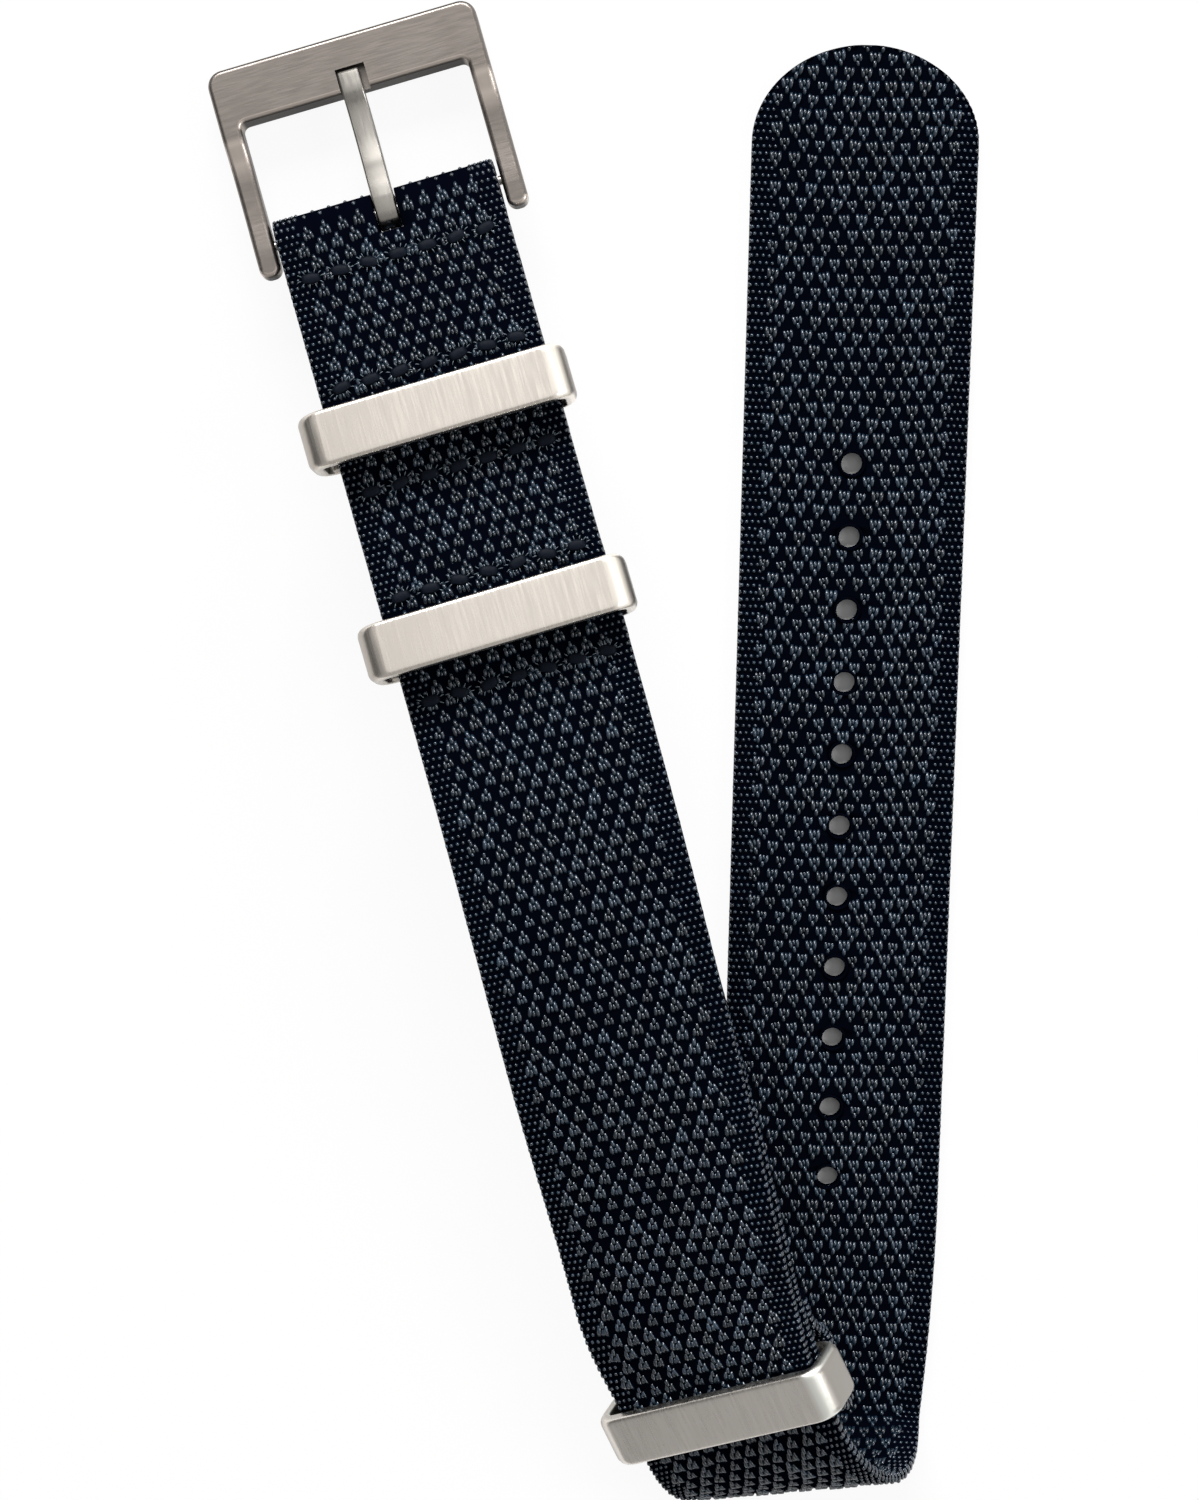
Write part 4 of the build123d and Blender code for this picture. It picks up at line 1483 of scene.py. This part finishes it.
def build_tongue(settings):
    """Buckle tongue, bent over the bar and wrapped round it."""
    path = smooth_path(TONGUE_PROFILE, TONGUE_PARTS)
    for i in range(TONGUE_WRAP_COUNT):
        turn = math.radians(TONGUE_WRAP_START + i * TONGUE_WRAP_STEP)
        y, z = TONGUE_WRAP_RADIUS * math.cos(turn), TONGUE_WRAP_RADIUS * math.sin(turn)
        path.append((y, z, TONGUE_WRAP_THICKNESS))
    path = [(y * MM, z * MM, thick * MM) for y, z, thick in path]
    rings = []
    for i, (y, z, thick) in enumerate(path):
        before, after = path[max(i - 1, 0)], path[min(i + 1, len(path) - 1)]
        ahead = Vector((after[0] - before[0], after[1] - before[1])).normalized()
        inset = TONGUE_END_SHARE * TONGUE_CORNER if i in (0, len(path) - 1) else 0
        half, high = TONGUE_HALF - inset, thick / 2 - inset
        outline = rounded_outline(half, high, TONGUE_CORNER, TONGUE_CORNER_POINTS)
        rings.append([(x, y + ahead.y * up, z - ahead.x * up) for x, up in outline])
    tongue = new_object("tongue_pin", lofted("tongue_pin", rings))
    matrix = frame_at(FOLD_CENTRE, FOLD_AXIS_DEPTH)
    tongue.data.transform(matrix)
    steel = steel_material(
        "Brushed Tongue",
        settings.tongue_colour,
        matrix,
        TONGUE_STREAK,
        TONGUE_ROUGHNESS,
        settings.contrast,
        TONGUE_PAINTED_SHADE,
    )
    tongue.data.materials.append(steel)
    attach(tongue, "tongue")
    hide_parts("buckle_tongue")


def keeper_object(name, matrix):
    """Flat ring of steel with rounded corners and soft edges."""
    wide = WEB_WIDTH / 2 + KEEPER_SIDE_CLEARANCE
    high = (KEEPER_ROOM + KEEPER_WALL + KEEPER_BACK_BAR) / 2
    lift = (KEEPER_BACK_BAR - KEEPER_WALL) / 2
    ends = []
    for i in range(KEEPER_EDGE_STEPS + 1):
        turn = math.pi / 2 * i / KEEPER_EDGE_STEPS
        back = KEEPER_PLAN_RADIUS * (1 - math.sin(turn))
        side = KEEPER_PLAN_RADIUS * (1 - math.cos(turn))
        rest = max(KEEPER_EDGE - back, 0)
        inset = KEEPER_EDGE - math.sqrt(KEEPER_EDGE**2 - rest**2)
        ends.append((side, inset, KEEPER_LENGTH / 2 - back))
    ends.sort(key=lambda end: end[2])
    sections = [(side, inset, -y) for side, inset, y in reversed(ends)] + ends
    rings = []
    for side, inset, y in sections:
        half, radius = wide + KEEPER_WALL - side, KEEPER_OUTER_RADIUS - inset
        rings.append([(x, y, z) for x, z in rounded_outline(half, high - inset, radius)])
    for side, inset, y in reversed(sections):
        outline = rounded_outline(wide + inset, KEEPER_ROOM / 2 + inset, KEEPER_INNER_RADIUS + inset)
        rings.append([(x, y, z + lift) for x, z in outline])
    keeper = new_object(name, lofted(name, rings, closed=True))
    keeper.data.transform(matrix)
    return keeper


def build_keepers(settings):
    """Three keepers that ring the webbing."""
    pocket_room = POCKET_BAR_FRONT + KEEPER_ROOM
    depth = KEEPER_ROOM + KEEPER_WALL + KEEPER_BACK_BAR
    bright, dull = settings.keeper_colour, settings.end_keeper_colour
    contrast = KEEPER_CONTRAST_SHARE * settings.contrast
    fixed = (pocket_room, KEEPER_SIDE_SHIFT, bright, KEEPER_ROUGHNESS)
    last = (END_FRONT_CLEARANCE, END_KEEPER_SIDE_SHIFT, dull, END_KEEPER_ROUGHNESS)
    rows = (
        ("upper_keeper", "upper_ring", AT_UPPER, fixed),
        ("middle_keeper", "middle_ring", AT_MIDDLE, fixed),
        ("end_keeper", "end_ring", AT_END, last),
    )
    for node, body, distance, (room, shift, colour, roughness) in rows:
        matrix = frame_at(distance, room + KEEPER_WALL - depth / 2) @ Matrix.Translation((shift, 0, 0))
        keeper = keeper_object(node + "_ring", matrix)
        name = "Brushed " + node
        steel = steel_material(name, colour, matrix, KEEPER_STREAK, roughness, contrast, KEEPER_PAINTED_LIGHT)
        keeper.data.materials.append(steel)
        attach(keeper, body)
        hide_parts(node)


def build_buckle(settings):
    """Finishes of the buckle's frame, with painted highlights and painted shade, and of its spring bar.
    """
    matrix = frame_at(FOLD_CENTRE, FOLD_AXIS_DEPTH)
    streak, contrast = BUCKLE_STREAK, settings.contrast
    colour, rough = settings.buckle_colour, BUCKLE_ROUGHNESS
    buckle = steel_material("Brushed Buckle", colour, matrix, streak, rough, contrast, BUCKLE_PAINTED_LIGHT)
    colour = settings.bar_colour
    bar = steel_material("Spring Bar Steel", colour, matrix, streak, BAR_ROUGHNESS, contrast)
    for node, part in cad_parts.items():
        if node == "buckle_frame" or node.startswith("spring_bar"):
            part.data.materials.clear()
            part.data.materials.append(buckle if node == "buckle_frame" else bar)


# Stage


def area_lamp(name, place, size, power):
    """Rectangular area lamp that faces the middle of the strap."""
    light = bpy.data.lights.new(name, "AREA")
    light.shape = "RECTANGLE"
    light.size, light.size_y = size
    light.energy = power
    lamp = new_object(name, light)
    lamp.location = place
    lamp.rotation_euler = (-Vector(place)).to_track_quat("-Z", "Y").to_euler()
    return lamp


def ray_masks(tree, *labels):
    """Masks of the kinds of ray that look at a surface."""
    rays = tree.nodes.new("ShaderNodeLightPath").outputs
    return [Value(tree, rays[f"Is {label} Ray"]) for label in labels]


def build_world():
    """Backdrop that is white to the camera and dimmer to the object."""
    world = bpy.data.worlds.new("Studio")
    bpy.context.scene.world = world
    world.use_nodes = True
    tree = world.node_tree
    tree.nodes.clear()
    camera, mirrored, through = ray_masks(tree, "Camera", "Glossy", "Transmission")
    x, y, z = split(tree, value_of(tree, "ShaderNodeTexCoord", output="Generated"))
    left = ranged(tree, x, BACKDROP_LEFT_RANGE, BACKDROP_LEFT_SHARE)
    right = ranged(tree, x, BACKDROP_RIGHT_RANGE, high=BACKDROP_RIGHT_SHARE)
    lit = (mirrored * BACKDROP_MIRRORED_SHARE + BACKDROP_DIM_SHARE) * (left + right)
    strength = ranged(tree, camera.at_least(through), (0.0, 1.0), lit)
    background = value_of(tree, "ShaderNodeBackground", {"Color": (1, 1, 1, 1), "Strength": strength})
    add_node(tree, "ShaderNodeOutputWorld", {0: background})


def under_holes(tree):
    """Mask of the floor's strip below the adjustment holes, which stays unlit."""
    x, y, z = split(tree, value_of(tree, "ShaderNodeTexCoord", output="Object"))
    first, last = (
        frame_at(AT_TIP - HOLE_FIRST - index * HOLE_PITCH) @ Vector((HOLE_SIDE, 0, 0))
        for index in (0, HOLE_COUNT - 1)
    )
    rise = (first.x - last.x) / (first.y - last.y)
    line = y * rise + (first.x - rise * first.y)
    low, high = last.y - HOLE_STRIP_HALF, first.y + HOLE_STRIP_HALF
    return (abs(x - line) < HOLE_STRIP_HALF) * (y < high) * (y > low)


def build_floor(colour):
    """Pale floor, white to the camera, that keeps the strap's shadow."""
    half = FLOOR_HALF
    corners = [(-half, -half, 0), (half, -half, 0), (half, half, 0), (-half, half, 0)]
    floor = new_object("Floor", mesh_of("Floor", corners, [(0, 1, 2, 3)]))
    floor.location.z = cad_low[2] - FLOOR_GAP
    material, tree, shader = new_material("Pale Floor")
    inputs = {"Base Color": colour, "Roughness": FLOOR_ROUGHNESS, "Specular IOR Level": 0.0}
    feed(tree, shader, inputs)
    camera, mirrored = ray_masks(tree, "Camera", "Glossy")
    seen = (camera * FLOOR_SEEN_SHARE).at_least(mirrored * FLOOR_MIRRORED_SHARE)
    seen = seen * (1.0 - under_holes(tree))
    glow = value_of(tree, "ShaderNodeEmission", {"Color": (1, 1, 1, 1), "Strength": 1.0})
    inputs = {0: seen, 1: Value(tree, shader.outputs[0]), 2: glow}
    output = next(node for node in tree.nodes if node.type == "OUTPUT_MATERIAL")
    feed(tree, output, {"Surface": value_of(tree, "ShaderNodeMixShader", inputs)})
    floor.data.materials.append(material)
    return floor


def build_stage(settings):
    """Floor, backdrop, lamps and camera."""
    scene = bpy.context.scene
    scene.view_settings.view_transform = "Standard"
    build_world()
    build_floor(settings.floor_colour)
    area_lamp("Key", KEY_PLACE, KEY_SIZE, settings.key_power)
    area_lamp("Side", SIDE_PLACE, SIDE_SIZE, settings.side_power)
    area_lamp("Top", TOP_PLACE, TOP_SIZE, settings.top_power)
    lens = bpy.data.cameras.new("Camera")
    lens.lens = LENS_LENGTH
    lens.sensor_width = SENSOR_WIDTH
    lens.clip_start = NEAREST_SEEN
    camera = new_object("Camera", lens)
    camera.location = CAMERA_PLACE
    camera.rotation_euler = (math.radians(CAMERA_TILT), 0, 0)
    scene.camera = camera


# Settings that a user would change


def colour(label, description, value):
    """Colour property."""
    return bpy.props.FloatVectorProperty(
        name=label, description=description, default=value, size=4, min=0, max=1, subtype="COLOR"
    )


def size(label, description, value):
    """Length property."""
    return bpy.props.FloatProperty(
        name=label,
        description=description,
        default=value,
        min=0,
        precision=5,
        subtype="DISTANCE",
        unit="LENGTH",
    )


def power(label, description, value):
    """Lamp power property."""
    return bpy.props.FloatProperty(
        name=label, description=description, default=value, min=0, unit="POWER"
    )


class WebbingSettings(bpy.types.PropertyGroup):
    """Sizes and colours of the webbing."""

    columns: bpy.props.IntProperty(
        name="Columns", description="Cells of the weave across it", default=CELL_COLUMNS, min=2
    )
    column_pitch: size("Column Pitch", "Distance between cells across", CELL_COLUMN_PITCH)
    row_pitch: size("Row Pitch", "Distance between rows of cells", CELL_ROW_PITCH)
    looseness: size("Looseness", "How far a cell strays from its place", CELL_LOOSENESS)
    dark_yarn: colour("Dark Yarn", "Darkest colour of the yarn", YARN_DARK)
    light_yarn: colour("Light Yarn", "Lightest colour of the yarn", YARN_LIGHT)
    # Core colour: the navy darkened further as painted shade in the gaps between the yarns
    core_colour_and_shade: colour("Core", "Colour between the yarns", CORE_COLOUR_AND_SHADE)


class StitchSettings(bpy.types.PropertyGroup):
    """Sizes and colours of the stitching."""

    stitch_count: bpy.props.IntProperty(
        name="Stitches", description="Stitches in a row", default=STITCH_COUNT, min=1
    )
    stitch_length: size("Length", "Length of a stitch", STITCH_LENGTH)
    stitch_width: size("Width", "Width of a stitch", STITCH_WIDTH)
    thread_colour: colour("Thread", "Colour of the thread", THREAD_COLOUR)
    fray_colour: colour("Frayed Yarn", "Colour of the yarn ends round a stitch", FRAY_COLOUR)


class SteelSettings(bpy.types.PropertyGroup):
    """Finishes of the steel."""

    buckle_colour: colour("Buckle", "Colour of the buckle's frame", BUCKLE_COLOUR)
    tongue_colour: colour("Tongue", "Colour of the tongue", TONGUE_COLOUR)
    keeper_colour: colour("Keepers", "Colour of the upper and middle keepers", KEEPER_COLOUR)
    end_keeper_colour: colour("End Keeper", "Colour of the end keeper", END_KEEPER_COLOUR)
    bar_colour: colour("Spring Bar", "Colour of the spring bar", BAR_COLOUR)
    contrast: bpy.props.FloatProperty(
        name="Streak Contrast",
        description="How strongly the brushed streaks show",
        default=STREAK_CONTRAST,
        min=0,
        max=1,
        subtype="FACTOR",
    )


class StageSettings(bpy.types.PropertyGroup):
    """Lamps and floor of the stage."""

    key_power: power("Key", "Power of the low lamp above the buckle", KEY_POWER)
    side_power: power("Side", "Power of the lamp on the right", SIDE_POWER)
    top_power: power("Top", "Power of the lamp overhead", TOP_POWER)
    floor_colour: colour("Floor", "Colour of the floor", FLOOR_COLOUR)


# Operators and panel


class AddStage(bpy.types.Operator):
    """Add the floor, the backdrop, the lamps and the camera"""

    bl_idname = "watch_strap.stage"
    bl_label = "Stage"

    def execute(self, context):
        build_stage(context.scene.strap_stage)
        return {"FINISHED"}


class AddLongWebbing(bpy.types.Operator):
    """Weave the long webbing with its fold, its holes and its rounded tip"""

    bl_idname = "watch_strap.long_webbing"
    bl_label = "Long Webbing"

    def execute(self, context):
        build_long_webbing(context.scene.strap_webbing)
        return {"FINISHED"}


class AddShortWebbing(bpy.types.Operator):
    """Weave the short webbing that holds the keepers"""

    bl_idname = "watch_strap.short_webbing"
    bl_label = "Short Webbing"

    def execute(self, context):
        build_short_webbing(context.scene.strap_webbing)
        return {"FINISHED"}


class AddSeams(bpy.types.Operator):
    """Stitch the seams that join the layers"""

    bl_idname = "watch_strap.seams"
    bl_label = "Seams"

    def execute(self, context):
        build_seams(context.scene.strap_stitching)
        return {"FINISHED"}


class AddTongue(bpy.types.Operator):
    """Add the buckle's tongue"""

    bl_idname = "watch_strap.tongue"
    bl_label = "Tongue"

    def execute(self, context):
        build_tongue(context.scene.strap_steel)
        return {"FINISHED"}


class AddKeepers(bpy.types.Operator):
    """Add the three steel keepers"""

    bl_idname = "watch_strap.keepers"
    bl_label = "Keepers"

    def execute(self, context):
        build_keepers(context.scene.strap_steel)
        return {"FINISHED"}


class FinishBuckle(bpy.types.Operator):
    """Give the buckle's frame its finish with painted highlights and painted shade, and the spring bar
    its finish
    """

    bl_idname = "watch_strap.buckle"
    bl_label = "Buckle And Spring Bar"

    def execute(self, context):
        build_buckle(context.scene.strap_steel)
        return {"FINISHED"}


SETTINGS = {
    "strap_webbing": WebbingSettings,
    "strap_stitching": StitchSettings,
    "strap_steel": SteelSettings,
    "strap_stage": StageSettings,
}
OPERATORS = (
    AddStage,
    AddLongWebbing,
    AddShortWebbing,
    AddSeams,
    AddTongue,
    AddKeepers,
    FinishBuckle,
)


class StrapPanel(bpy.types.Panel):
    """Buttons and settings of the watch strap"""

    bl_idname = "VIEW3D_PT_watch_strap"
    bl_label = "Watch Strap"
    bl_space_type = "VIEW_3D"
    bl_region_type = "UI"
    bl_category = "Watch Strap"

    def draw(self, context):
        for name, group in SETTINGS.items():
            box = self.layout.box()
            for setting in group.__annotations__:
                box.prop(getattr(context.scene, name), setting)
        for operator in OPERATORS:
            self.layout.operator(operator.bl_idname)


def register():
    """Register the settings, the operators and the panel."""
    for each in (*SETTINGS.values(), *OPERATORS, StrapPanel):
        bpy.utils.register_class(each)
    for name, group in SETTINGS.items():
        setattr(bpy.types.Scene, name, bpy.props.PointerProperty(type=group))


def unregister():
    """Take the settings, the operators and the panel out again."""
    for name in SETTINGS:
        delattr(bpy.types.Scene, name)
    for each in reversed((*SETTINGS.values(), *OPERATORS, StrapPanel)):
        bpy.utils.unregister_class(each)


def main():
    """Build the strap and its stage."""
    register()
    bpy.ops.watch_strap.stage()
    bpy.ops.watch_strap.long_webbing()
    bpy.ops.watch_strap.short_webbing()
    bpy.ops.watch_strap.seams()
    bpy.ops.watch_strap.tongue()
    bpy.ops.watch_strap.keepers()
    bpy.ops.watch_strap.buckle()


if __name__ == "__main__":
    main()
